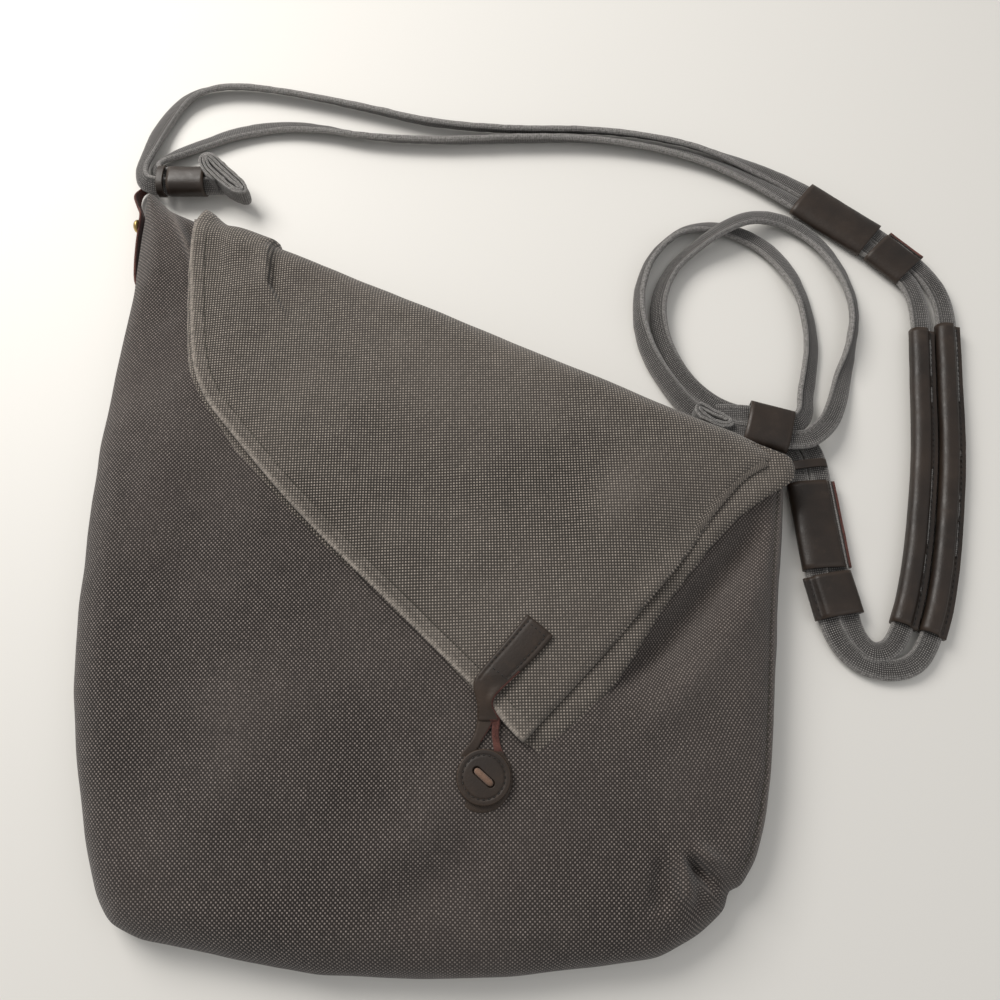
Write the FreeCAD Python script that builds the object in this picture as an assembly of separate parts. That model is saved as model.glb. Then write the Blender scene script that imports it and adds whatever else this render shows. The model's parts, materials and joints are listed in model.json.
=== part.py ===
import FreeCAD, Part
import math
import os

# Foldover canvas messenger bag lying on its back. Millimetres, +Z up, +Y towards the bag's top.
# The origin is on the resting surface, under the middle of the bag.

V = FreeCAD.Vector

# Canvas body
canvas = 1.3                      # thickness of one canvas layer
body_height = 26.0                # top face of the front panel
lining_thickness = 0.8
lining_scale = 0.975              # the lining is cut a little smaller than the shell
throat = 14.0                     # how far the front panel stops short of the fold
lip_top = 25.5                    # where the back panel's turned-up edge ends

# Fold line that the flap hinges on: a point on it and its slope
fold_x, fold_y = 34.0, 113.0
fold_angle = math.radians(25)
body_fold_start, body_fold_end = -243.0, 175.0
flap_fold_start, flap_fold_end = -200.0, 166.0

# Flap layers
under_low = 27.0                  # underside of the flap's under panel
cavity_height = 6.0               # hollow between the two flap layers
under_top = under_low + canvas - 0.1
outer_low = under_top + cavity_height
outer_top = outer_low + canvas - 0.1
hem_width = 14.0
hem_band = 0.8

# Closure
patch_from, patch_to, patch_width = (53.8, -58.5), (30.3, -85.7), 15.0
leather = 1.8
button_x, button_y, button_radius = 26.3, -129.0, 12.5
button_low, button_thickness = 28.8, 2.8
slot_length, slot_width = 9.0, 3.2

# Strap: two strands of folded canvas, side by side in every sleeve
strand = 6.0                      # diameter of the strand's tube
sleeve_wall = 1.6
keeper_width, keeper_height = 26.6, 10.2
pad_width = 14.2

# Side tabs
rivet_radius, rivet_dome = 4.8, 1.8

left_side = [(-186.5, 215.83), (-187.5, 189), (-186.5, 146), (-189, 100), (-190.5, 54), (-190.5, 6),
             (-188, -42), (-183.5, -86), (-176.5, -120), (-166.5, -157), (-157, -182)]
bottom_side = [(-157, -182), (-149, -194), (-134, -200.5), (-87, -209), (-50, -215), (-5, -217),
               (40, -215.5), (81, -212), (108, -208), (127, -198), (139, -188), (146.5, -180)]
right_side = [(146.5, -180), (156.5, -166), (163.5, -148), (168.5, -129), (174, -91),
              (179.5, -50), (186.5, -6), (190.5, 19), (192.6, 39.05)]

# Flap outlines, as (distance along the fold line, distance out from it)
flap_hem = [(-199, -2), (-181, -36), (-153, -81), (-133, -103), (-107, -117.5), (-48, -143.5),
            (23.5, -168.5), (76.6, -187), (92.5, -193), (101, -199)]
flap_outer_edge = [(116.6, -173.7), (161.6, -10.3), (166, 0)]
under_hem = [(-193, -14), (-184, -38), (-156, -84), (-136, -107.5), (-108, -122.5), (-49.5, -148.5),
             (21.5, -173.5), (75, -192), (92, -197), (115.6, -203.3)]
under_edge = [(131, -167), (152.8, -88.3), (170.5, -14)]

# Strand A takes the outer lane of every turn but the loop's, strand B the inner one
strand_a = [(-131, 225.9, 12.6), (-150.5, 225.25, 12), (-188, 225.25, 12), (-196.5, 240, 10),
            (-194, 261, 6), (-189, 285, 4), (-175, 310, 3.2), (-146, 317, 3.2), (-104, 310, 3.2),
            (-55, 297, 3.2), (-8, 283, 3.2), (45, 278.5, 3.2), (100, 279, 3.2), (150, 270, 3.2),
            (188, 254.5, 4.4), (221.8, 234.9, 5.3), (270.5, 195.1, 5.3), (293.3, 171.3, 5.3),
            (302.5, 152.5, 5.2), (302.8, 131, 5.3), (297.7, 92.7, 5.3), (290.4, 43.1, 5.3),
            (279.6, -5, 5.3), (269.7, -38.2, 5.3), (261, -59, 5.2), (252, -72, 3.8), (237, -75.5, 3.2),
            (222, -71, 3.6), (211.5, -59, 4.6), (207.5, -40, 5.3), (205, -12, 5.3), (202.8, 21, 5.3),
            (201.5, 44, 5.1), (193, 57, 3.2), (178, 61.5, 3.2), (160, 66, 3.2), (144, 76, 3.2),
            (132, 93, 3.2), (122, 112, 3.2), (117, 137, 3.2), (120, 164, 3.2), (133, 188, 3.2),
            (152, 202, 3.2), (174, 203, 3.2), (196, 193, 3.2), (211, 174, 3.2), (219, 149, 3.2),
            (220.5, 120, 3.2), (216, 98, 3.4), (212, 84, 4.8), (209.5, 70, 8.6), (200, 61.5, 12.6),
            (175, 70, 12.6), (158, 69.8, 11)]
strand_b = [(-141, 235, 12.4), (-156, 236.75, 12), (-183, 236.75, 12), (-188, 246.5, 8.5),
            (-181, 257, 4.5), (-164.5, 266, 3.2), (-141, 277.5, 3.2), (-113, 283.5, 3.2),
            (-84, 281, 3.2), (-52, 272.5, 3.2), (-8, 269.5, 3.2), (42, 271.5, 3.2), (96, 271.8, 3.2),
            (148, 262.6, 3.2), (184.5, 247.3, 4.4), (214.6, 226, 5.3), (263, 186.6, 5.3),
            (283.5, 164.5, 5.3), (288, 148, 5.2), (287, 129, 5.3), (282.3, 95, 5.3), (275, 46, 5.3),
            (264.5, -1, 5.3), (255, -33, 5.3), (246.5, -54, 5.2), (239, -65, 3.8), (228, -66, 3.6),
            (221, -56, 4.6), (218.5, -38, 5.3), (216.4, -10, 5.3), (214.4, 23, 5.3), (213.3, 46, 5.1),
            (207, 60, 3.2), (193, 68.5, 3.2), (175, 72, 3.2), (160, 78, 3.2), (146, 90, 3.2),
            (135, 107, 3.2), (129, 128, 3.2), (130, 151, 3.2), (140, 172, 3.4), (155, 186, 6.8),
            (170, 195.5, 12.6), (187, 204.5, 12.6), (203, 208.5, 6.8), (219, 205.5, 3.2), (234, 191, 3.2),
            (244.5, 169, 3.2), (249.5, 143, 3.2), (243, 116, 3.2), (235.5, 96, 3.6), (229.5, 78, 5.4),
            (220, 62, 10), (203.5, 50.5, 12.6), (171.5, 59.6, 12.6), (157.5, 60.4, 11)]

# Sleeves on the strap: centre line and height of the centre above the table
strap_height = 5.3
left_end_height, right_end_height = 12.0, 12.6
upper_long_line = [(226.0, 224.1), (265.0, 191.9)]
upper_short_line = [(269.3, 188.1), (286.6, 170.1)]
lower_long_line = [(211.3, -20.4), (208.4, 29.5)]
lower_short_line = [(214.8, -46.5), (210.8, -23.5)]
left_end_line = [(-175.0, 231), (-152.0, 231)]
right_end_line = [(198.0, 57.5), (174.0, 64.5)]
inner_pad_line = [(286.7, 127), (282.3, 95), (275, 46), (264.5, -1), (255, -33), (247.6, -51.5)]
outer_pad_line = [(302.6, 130), (297.7, 92.7), (290.4, 43.1), (279.6, -5), (269.7, -38.2), (262, -56.5)]


def fold_point(along, out):
    """XY of a point given along the fold line and out from it, away from the body."""
    x = fold_x + along * math.cos(fold_angle) + out * math.sin(fold_angle)
    y = fold_y - along * math.sin(fold_angle) + out * math.cos(fold_angle)
    return (x, y)


def prism(points, low, high):
    """Straight-sided solid over a closed polygon."""
    corners = [V(x, y, low) for x, y in points]
    wire = Part.makePolygon(corners + corners[:1])
    return Part.Face(wire).extrude(V(0, 0, high - low))


def fold_prism(points, low, high):
    return prism([fold_point(s, n) for s, n in points], low, high)


def fold_box(start, end, inner, outer, low, high):
    return fold_prism([(start, inner), (end, inner), (end, outer), (start, outer)], low, high)


def cylinder(x, y, low, high, radius):
    return Part.makeCylinder(radius, high - low, V(x, y, low))


def capsule(x, y, angle, length, width, low, high):
    """Bar with round ends, seen from above."""
    reach = (length - width) / 2
    dx, dy = math.cos(angle) * reach, math.sin(angle) * reach
    side_x, side_y = -math.sin(angle) * width / 2, math.cos(angle) * width / 2
    bar = prism([(x + dx + side_x, y + dy + side_y), (x - dx + side_x, y - dy + side_y),
                 (x - dx - side_x, y - dy - side_y), (x + dx - side_x, y + dy - side_y)], low, high)
    ends = [cylinder(x + k * dx, y + k * dy, low, high, width / 2) for k in (1, -1)]
    return bar.fuse(ends).removeSplitter()


def unit(a, b):
    length = math.dist(a, b)
    return ((b[0] - a[0]) / length, (b[1] - a[1]) / length)


def side_line(points, distance):
    """The line beside an open polyline, to its left, with mitred corners."""
    result = []
    for i, point in enumerate(points):
        before = unit(points[i - 1], point) if i > 0 else unit(point, points[i + 1])
        after = unit(point, points[i + 1]) if i < len(points) - 1 else before
        nx, ny = -(before[1] + after[1]), before[0] + after[0]
        scale = distance * 2 / (nx * nx + ny * ny)
        result.append((point[0] + nx * scale, point[1] + ny * scale))
    return result


def band(points, width, low, high):
    return prism(side_line(points, width / 2) + side_line(points, -width / 2)[::-1], low, high)


def stretched(points, extra):
    """The same polyline, a little longer at both ends."""
    first, last = unit(points[1], points[0]), unit(points[-2], points[-1])
    start = (points[0][0] + first[0] * extra, points[0][1] + first[1] * extra)
    end = (points[-1][0] + last[0] * extra, points[-1][1] + last[1] * extra)
    return [start] + points[1:-1] + [end]


def sleeve(points, centre, width, height, wall):
    """Flattened tube of leather, open at both ends."""
    outside = band(points, width, centre - height / 2, centre + height / 2)
    inside = band(stretched(points, 1), width - 2 * wall,
                  centre - height / 2 + wall, centre + height / 2 - wall)
    return outside.cut(inside)


def strand_tube(name, points):
    """Round tube along straight runs joined by tangent arcs."""
    places = [V(*p) for p in points]
    edges, radii, length, start = [], [], 0.0, places[0]
    for before, corner, after in zip(places, places[1:], places[2:]):
        arriving, leaving = (corner - before).normalize(), (after - corner).normalize()
        turn = arriving.getAngle(leaving)
        tangent = 0.45 * min((corner - before).Length, (after - corner).Length)
        radius = tangent / math.tan(turn / 2)
        inward = (leaving - arriving).normalize()
        first, last = corner - arriving * tangent, corner + leaving * tangent
        middle = corner + inward * (radius / math.cos(turn / 2) - radius)
        edges.append(Part.LineSegment(start, first).toShape())
        edges.append(Part.Arc(first, middle, last).toShape())
        length += (first - start).Length + radius * turn
        radii.append(radius)
        start = last
    edges.append(Part.LineSegment(start, places[-1]).toShape())
    length += (places[-1] - start).Length
    path = Part.Wire(edges)
    section = Part.Wire([Part.Circle(places[0], places[1] - places[0], strand / 2).toShape()])
    tube = path.makePipeShell([section], True, False)
    expected = math.pi * strand ** 2 / 4 * length
    print(name, "length", round(length, 1), "volume ratio", round(tube.Volume / expected, 4))
    print("  radii", " ".join(str(round(r, 1)) for r in radii))
    return tube


def body_parts(parts):
    outline = left_side + bottom_side[1:] + right_side[1:]
    fold_side = fold_box(-300, 300, -throat, 60, -1, 60)
    wall_zone = fold_box(-300, 300, -canvas, 60, -1, 60)
    lip = fold_box(body_fold_start + 1.5, body_fold_end - 1.5, -canvas, 0, canvas, lip_top)
    parts["back_panel"] = prism(outline, 0, canvas).fuse(lip).removeSplitter()

    wall_top = body_height - canvas
    inner_line = side_line(outline, canvas)
    left_end = len(left_side) - 1
    bottom_end = left_end + len(bottom_side) - 1
    for name, first, last in [("left_gusset", 0, left_end), ("bottom_gusset", left_end, bottom_end),
                              ("right_gusset", bottom_end, len(outline) - 1)]:
        wall = outline[first:last + 1] + inner_line[first:last + 1][::-1]
        parts[name] = prism(wall, canvas, wall_top).cut(wall_zone)
    parts["front_panel"] = prism(outline, wall_top, body_height).cut(fold_side)

    inside = [(x * lining_scale, y * lining_scale) for x, y in outline]
    parts["lining_back"] = prism(inside, canvas, canvas + lining_thickness)
    parts["lining_front"] = prism(inside, wall_top - lining_thickness, wall_top).cut(fold_side)
    pocket_low = canvas + lining_thickness
    parts["inner_pocket"] = prism([(-90, -116), (70, -116), (70, 14), (-90, 14)],
                                  pocket_low, pocket_low + lining_thickness)
    parts["button_backing"] = cylinder(button_x, button_y, wall_top - lining_thickness - 1.2,
                                       wall_top - lining_thickness, 9.0)


def flap_parts(parts):
    outline = [(flap_fold_start, 0)] + flap_hem + flap_outer_edge
    outer = fold_prism(outline, outer_low, outer_top)
    lip = fold_box(flap_fold_start, flap_fold_end, -canvas, 0, lip_top + 2.5, outer_low)
    parts["flap_outer_panel"] = outer.fuse(lip).removeSplitter()
    parts["flap_under_panel"] = fold_prism(under_hem + under_edge, under_low, under_top)

    fold_out = [(118, -200), (131, -167), (152.8, -88.3), (170, -18)]
    fold_in = [(149, -18), (131.8, -88.3), (110, -165), (104, -196)]
    gusset = fold_prism(fold_out + fold_in, under_top + 1.2, outer_low - 1.0)
    hollow_in = [(s - 3, n) for s, n in fold_in]
    hollow_out = [(s - 1.5, n) for s, n in fold_out]
    hollow = fold_prism(hollow_out + hollow_in, under_top + 2.1, outer_low - 1.9)
    parts["flap_side_gusset"] = gusset.cut(hollow)

    for name, line, low in [("flap_hem_band", flap_hem[1:-1], outer_low - hem_band),
                            ("under_hem_band", under_hem[1:-1], under_top)]:
        edge = [fold_point(s, n) for s, n in line]
        inside = side_line(edge, hem_width)
        parts[name] = prism(edge + inside[::-1], low, low + hem_band)


def closure_parts(parts):
    patch = band([patch_from, patch_to], patch_width, outer_top, outer_top + leather)
    parts["closure_patch"] = patch

    strip_left, strip_right = 22.5, 32.5
    low, high = outer_top + 0.2, outer_top + 0.2 + leather
    end_low = body_height + 0.3
    profile = [(-80, high), (-100, high), (-115.3, end_low + leather), (-122, end_low + leather),
               (-122, end_low), (-116.5, end_low), (-100, low), (-80, low)]
    corners = [V(strip_left, y, z) for y, z in profile]
    strip = Part.Face(Part.makePolygon(corners + corners[:1])).extrude(V(strip_right - strip_left, 0, 0))
    round_end = cylinder(button_x - 1.5, button_y - 1, end_low, end_low + leather, button_radius - 0.5)
    buttonhole = capsule(button_x - 0.5, button_y + 2, math.pi / 2, 16, 7.6, end_low - 1, high)
    patch_end = stretched([patch_from, patch_to], 0.4)
    clear = band(patch_end, patch_width * 3, low - 1, high + 1)
    parts["closure_tab"] = strip.fuse(round_end).removeSplitter().cut(buttonhole).cut(clear)

    slot_angle = math.radians(-45)
    button_high = button_low + button_thickness
    recess = capsule(button_x, button_y, slot_angle, slot_length, slot_width,
                     button_high - 1.5, button_high + 1)
    disc = cylinder(button_x, button_y, button_low, button_high, button_radius).cut(recess)
    bar = capsule(button_x, button_y, slot_angle, slot_length - 0.8, slot_width - 0.8,
                  button_high - 1.4, button_high + 0.2)
    legs = []
    for side in (1, -1):
        x = button_x + side * 2.7 * math.cos(slot_angle)
        y = button_y + side * 2.7 * math.sin(slot_angle)
        disc = disc.cut(cylinder(x, y, button_low - 1, button_high, 1.2))
        legs.append(cylinder(x, y, body_height + 0.1, button_high - 1.0, 1.1))
    parts["button_disc"] = disc
    parts["button_thong"] = bar.fuse(legs).removeSplitter()


def tab_parts(parts):
    ring_width, ring_height, ring_wall = 28.6, 12.2, 1.8
    ring = sleeve([(-181.5, 231), (-177.5, 231)], left_end_height, ring_width, ring_height, ring_wall)
    leg = prism([(-189.6, 154), (-187.6, 154), (-187.6, 218.5), (-189.6, 218.5)], 3.5, 19.5)
    bridge = prism([(-189.6, 216.7), (-177.5, 216.7), (-177.5, 218.5), (-189.6, 218.5)],
                   left_end_height - ring_height / 2, left_end_height + ring_height / 2)
    parts["left_side_tab"] = leg.fuse([ring, bridge]).removeSplitter()

    right_ring = sleeve([(207.8, 37), (207.5, 42)], strap_height, keeper_width, keeper_height, sleeve_wall)
    right_leg = prism([(189.5, 4), (191.5, 4), (195.0, 38), (195.0, 41), (193.0, 41)], 0.5, 16.0)
    parts["right_side_tab"] = right_leg.fuse(right_ring).removeSplitter()

    rivets = []
    for x, y, z, angle in [(-189.6, 196, 11, 180), (193.0, 18, 9, -5.9)]:
        rim = Part.makeCylinder(rivet_radius, rivet_dome / 2, V(0, 0, 0), V(1, 0, 0))
        top = Part.makeCone(rivet_radius, rivet_radius / 2, rivet_dome / 2,
                            V(rivet_dome / 2, 0, 0), V(1, 0, 0))
        cap = rim.fuse(top)
        cap.rotate(V(0, 0, 0), V(0, 0, 1), angle)
        cap.translate(V(x, y, z))
        rivets.append(cap)
    parts["tab_rivets"] = Part.makeCompound(rivets)


def strap_parts(parts):
    parts["strap_strand_a"] = strand_tube("strand a", strand_a)
    parts["strap_strand_b"] = strand_tube("strand b", strand_b)
    for name, line, centre in [("upper_long_keeper", upper_long_line, strap_height),
                               ("upper_short_keeper", upper_short_line, strap_height),
                               ("lower_long_keeper", lower_long_line, strap_height),
                               ("lower_short_keeper", lower_short_line, strap_height),
                               ("left_end_keeper", left_end_line, left_end_height),
                               ("right_end_keeper", right_end_line, right_end_height)]:
        parts[name] = sleeve(line, centre, keeper_width, keeper_height, sleeve_wall)
    for name, line in [("inner_shoulder_sleeve", inner_pad_line),
                       ("outer_shoulder_sleeve", outer_pad_line)]:
        parts[name] = sleeve(line, strap_height, pad_width, keeper_height, sleeve_wall)
    parts["left_stopper"] = capsule(-133.5, 231.5, math.radians(-50), 50, 14, 1.0, 23.0)
    stopper_x, stopper_y = fold_point(129, 8.5)
    parts["right_stopper"] = capsule(stopper_x, stopper_y, -fold_angle, 24, 12, 6.9, 15.0)


def build():
    parts = {}
    body_parts(parts)
    flap_parts(parts)
    closure_parts(parts)
    tab_parts(parts)
    strap_parts(parts)
    os.makedirs("parts", exist_ok=True)
    for name, shape in parts.items():
        print(name, "valid", shape.isValid(), "cm3", round(shape.Volume / 1000, 2))
        shape.exportStep("parts/" + name + ".step")


build()
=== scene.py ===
import json
import math
import bpy
import numpy as np
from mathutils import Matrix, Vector, noise


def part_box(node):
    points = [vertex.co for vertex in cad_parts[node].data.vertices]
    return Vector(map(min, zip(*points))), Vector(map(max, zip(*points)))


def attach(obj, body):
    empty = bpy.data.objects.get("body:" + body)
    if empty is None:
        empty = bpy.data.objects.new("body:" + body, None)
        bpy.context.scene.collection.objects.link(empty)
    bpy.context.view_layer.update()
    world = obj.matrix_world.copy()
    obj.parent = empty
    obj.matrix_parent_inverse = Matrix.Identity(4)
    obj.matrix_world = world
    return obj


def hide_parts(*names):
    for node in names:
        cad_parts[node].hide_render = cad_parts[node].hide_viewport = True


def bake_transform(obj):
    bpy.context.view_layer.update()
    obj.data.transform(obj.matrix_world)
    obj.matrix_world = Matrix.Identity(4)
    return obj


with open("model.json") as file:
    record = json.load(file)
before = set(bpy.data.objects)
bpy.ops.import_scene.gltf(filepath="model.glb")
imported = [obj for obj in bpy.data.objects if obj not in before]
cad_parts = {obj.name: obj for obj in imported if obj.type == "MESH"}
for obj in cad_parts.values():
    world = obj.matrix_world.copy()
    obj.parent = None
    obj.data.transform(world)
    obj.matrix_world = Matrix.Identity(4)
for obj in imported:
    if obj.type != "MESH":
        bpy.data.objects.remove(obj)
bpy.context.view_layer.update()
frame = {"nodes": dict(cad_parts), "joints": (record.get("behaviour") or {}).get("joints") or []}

mm = 0.001
foldJoint = next(j for j in frame["joints"] if j["name"] == "flap_fold")
foldPlace = np.array(foldJoint["pos_m"])
foldAlong = -np.array(foldJoint["axis"])          # along the fold, from the left tab to the right one
foldOut = np.array([-foldAlong[1], foldAlong[0], 0.0])   # away from the bag


def makePiece(name, points, faces, materials, uv=None):
    # uv holds one pair for each point, in metres of cloth
    mesh = bpy.data.meshes.new(name)
    mesh.from_pydata(np.asarray(points, float).tolist(), [], [list(map(int, f)) for f in faces])
    if uv is not None:
        layer = mesh.uv_layers.new(name="cloth")
        corners = np.zeros(len(mesh.loops), np.int32)
        mesh.loops.foreach_get("vertex_index", corners)
        layer.data.foreach_set("uv", np.asarray(uv, np.float32)[corners].ravel())
    mesh.shade_smooth()
    for material in materials if isinstance(materials, list) else [materials]:
        mesh.materials.append(material)
    piece = bpy.data.objects.new(name, mesh)
    bpy.context.scene.collection.objects.link(piece)
    return piece


def flipped(faces):
    return [face[::-1] for face in faces]


def gridFaces(rows, columns, closedColumns=False):
    # quads over points numbered row * columns + column
    faces = []
    for i in range(rows - 1):
        for j in range(columns if closedColumns else columns - 1):
            b = (j + 1) % columns
            faces.append((i * columns + j, i * columns + b, (i + 1) * columns + b, (i + 1) * columns + j))
    return faces


def tubeFaces(rows, columns):
    # a closed run of rings with a cap at each end
    last = (rows - 1) * columns
    return gridFaces(rows, columns, closedColumns=True) + [tuple(range(columns))[::-1],
                                                          tuple(range(last, last + columns))]


def setWeight(piece, name, values):
    attribute = piece.data.attributes.new(name, "FLOAT", "POINT")
    attribute.data.foreach_set("value", np.asarray(values, np.float32))


def settle(piece, body, nodes=()):
    # the piece stands for CAD nodes, which it hides, and moves with a body
    if nodes:
        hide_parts(*nodes)
    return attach(piece, body)


def applied(piece):
    # the piece with its modifiers made into plain mesh
    bpy.context.view_layer.update()
    evaluated = piece.evaluated_get(bpy.context.evaluated_depsgraph_get())
    mesh = bpy.data.meshes.new_from_object(evaluated, preserve_all_data_layers=True,
                                           depsgraph=bpy.context.evaluated_depsgraph_get())
    piece.modifiers.clear()
    piece.data = mesh
    return piece


def unit(v):
    return v / np.maximum(np.linalg.norm(v, axis=-1, keepdims=True), 1e-12)


def smoothstep(value, low, high):
    t = np.clip((value - low) / (high - low), 0, 1)
    return t * t * (3 - 2 * t)


def lengthsAlong(points):
    return np.concatenate([[0], np.cumsum(np.linalg.norm(np.diff(points, axis=0), axis=1))])


def evenly(points, count):
    # the same line with evenly spaced points
    along = lengthsAlong(points)
    wanted = np.linspace(0, along[-1], count)
    return np.stack([np.interp(wanted, along, points[:, k]) for k in range(points.shape[1])], 1)


def softLine(points, count):
    # a smooth line through the points
    p = np.asarray(points, float)
    p = np.vstack([2 * p[0] - p[1], p, 2 * p[-1] - p[-2]])
    line = []
    for a, b, c, d in zip(p, p[1:], p[2:], p[3:]):
        for t in np.linspace(0, 1, 16, endpoint=False):
            line.append(0.5 * (2 * b + (c - a) * t + (2 * a - 5 * b + 4 * c - d) * t ** 2
                               + (3 * b - a - 3 * c + d) * t ** 3))
    line.append(p[-2])
    return evenly(np.array(line), count)


def routeLine(name, route, count):
    # points of the smooth NURBS line that has the route's points as its controls
    curve = bpy.data.curves.new(name, "CURVE")
    curve.dimensions = "3D"
    spline = curve.splines.new("NURBS")
    spline.points.add(len(route) - 1)
    for control, place in zip(spline.points, route):
        control.co = (*place, 1)
    spline.order_u = 3
    spline.use_endpoint_u = True
    spline.resolution_u = 12
    holder = bpy.data.objects.new(name, curve)
    bpy.context.scene.collection.objects.link(holder)
    bpy.context.view_layer.update()
    mesh = bpy.data.meshes.new_from_object(holder.evaluated_get(bpy.context.evaluated_depsgraph_get()))
    line = np.array([v.co for v in mesh.vertices])
    bpy.data.objects.remove(holder)
    return evenly(line, count)


def distanceToLine(points, line):
    # for each point: distance to the polyline, and the share of its length where it is nearest
    best, share = np.full(len(points), 1e9), np.zeros(len(points))
    along = lengthsAlong(line)
    for a, b, start, end in zip(line, line[1:], along, along[1:]):
        t = np.clip(((points - a) @ (b - a)) / max(np.dot(b - a, b - a), 1e-15), 0, 1)
        d = np.linalg.norm(points - (a + t[:, None] * (b - a)), axis=1)
        near = d < best
        best[near] = d[near]
        share[near] = ((start + t * (end - start)) / along[-1])[near]
    return best, share


def ripple(points, size, seed, depth=2):
    # smooth noise from about -1 to 1, with features of that size
    return np.array([noise.fractal((x / size + seed, y / size - seed, z / size), 1.0, 2.0, depth)
                     for x, y, z in points])


def crease(points, path, width, height, fade=0.35):
    # a ridge (or a valley, where the height is negative) along a path, fading at its ends
    line = softLine(np.array(path) * mm, 40)
    d, share = distanceToLine(points, line)
    taper = smoothstep(share, 0, fade) * smoothstep(1 - share, 0, fade)
    return height * mm * np.exp(-(d / (width * mm)) ** 2) * taper


def foldPoints(s, n, z):
    # metres along the fold, out from it and up, as places in the frame
    s, n, z = np.broadcast_arrays(np.asarray(s, float), np.asarray(n, float), np.asarray(z, float))
    base = foldPlace - foldOut * 0.5 * mm
    flat = base[:2] + s[..., None] * foldAlong[:2] + n[..., None] * foldOut[:2]
    return np.concatenate([flat, z[..., None]], -1)


def cornersOf(node, height):
    # a flat CAD panel's corners at one height, in order round its middle
    low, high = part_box(node)
    z = low.z if height == "low" else high.z
    found = {(round(v.co.x, 5), round(v.co.y, 5)) for v in frame["nodes"][node].data.vertices
             if abs(v.co.z - z) < 0.05 * mm}
    found = np.array(sorted(found))
    middle = (found.min(0) + found.max(0)) / 2
    return found[np.argsort(np.arctan2(*(found - middle).T[::-1]))]


def insideLine(points, line):
    # true for the points inside a closed line in the plane
    inside = np.zeros(len(points), bool)
    x, y = points[:, 0], points[:, 1]
    for (ax, ay), (bx, by) in zip(line, np.roll(line, -1, axis=0)):
        if ay != by:
            inside ^= ((ay > y) != (by > y)) & (x < (bx - ax) * (y - ay) / (by - ay) + ax)
    return inside


def foldPlane(points):
    # where points lie along the fold and out from it
    flat = np.asarray(points)[..., :2] - (foldPlace - foldOut * 0.5 * mm)[:2]
    return np.stack([flat @ foldAlong[:2], flat @ foldOut[:2]], -1)


def gridNormals(grid):
    return unit(np.cross(np.gradient(grid, axis=0), np.gradient(grid, axis=1)))


def clothSheet(name, grid, uv, thickness, material, weights=None, rim=None):
    # a closed cloth: the grid is its outer face and its rim is rounded
    # weights is the wear at each grid point, and rim the material of the edge
    rows, columns = grid.shape[:2]
    normal = gridNormals(grid)
    thick = np.broadcast_to(np.asarray(thickness, float), (rows, columns))[..., None]
    low = grid - normal * thick
    border = ([(0, j) for j in range(columns)] + [(i, columns - 1) for i in range(1, rows)]
              + [(rows - 1, j) for j in range(columns - 2, -1, -1)] + [(i, 0) for i in range(rows - 2, 0,
                                                                                             -1)])
    at = np.array(border)
    inner = np.stack([np.clip(at[:, 0], 1, rows - 2), np.clip(at[:, 1], 1, columns - 2)], 1)
    edge, face = grid[at[:, 0], at[:, 1]], normal[at[:, 0], at[:, 1]]
    away = edge - grid[inner[:, 0], inner[:, 1]]
    away = unit(away - face * np.sum(away * face, 1, keepdims=True))
    deep = thick[at[:, 0], at[:, 1]]
    count = rows * columns
    points = [grid.reshape(-1, 3), low.reshape(-1, 3)]
    low4 = gridFaces(rows, columns)
    faces = flipped(low4) + [tuple(k + count for k in face) for face in low4]
    loops = [at[:, 0] * columns + at[:, 1]]
    for angle in (0.9, 0.5 * math.pi, 2.24):
        points.append(edge - face * deep * (0.5 - 0.5 * math.cos(angle)) + away * deep * 0.5 * math.sin(angle))
        loops.append(2 * count + (len(loops) - 1) * len(at) + np.arange(len(at)))
    loops.append(loops[0] + count)
    for upper, lower in zip(loops, loops[1:]):
        for k in range(len(at)):
            after = (k + 1) % len(at)
            faces.append((upper[after], lower[after], lower[k], upper[k]))
    flat = uv.reshape(-1, 2)
    uvs = np.vstack([flat, flat] + [flat[loops[0]]] * 3)
    piece = makePiece(name, np.vstack(points), faces, [material, rim] if rim else material, uvs)
    if rim:
        for polygon in piece.data.polygons[2 * (rows - 1) * (columns - 1):]:
            polygon.material_index = 1
    if weights is not None:
        worn = weights.reshape(-1)
        setWeight(piece, "wear", np.concatenate([worn, worn] + [worn[loops[0]]] * 3))
    return piece


def heightAt(plan, surface):
    # the surface's height at places in the plane, from its nearest points
    found = []
    for place in plan:
        d = np.sum((surface[:, :2] - place[:2]) ** 2, 1)
        near = np.argpartition(d, 4)[:4]
        w = 1 / (d[near] + 1e-10)
        found.append(np.sum(surface[near, 2] * w) / w.sum())
    return np.array(found)


# camera, light and floor
studio = {"lens": 31.43, "tilt": 20.0, "height": 463 * mm, "aside": 34 * mm, "towardsViewer": 147 * mm,
          "keyPower": 18.5, "fillPower": 2.0, "worldStrength": 0.42, "floorColour": (0.80, 0.785, 0.75, 1)}


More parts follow.
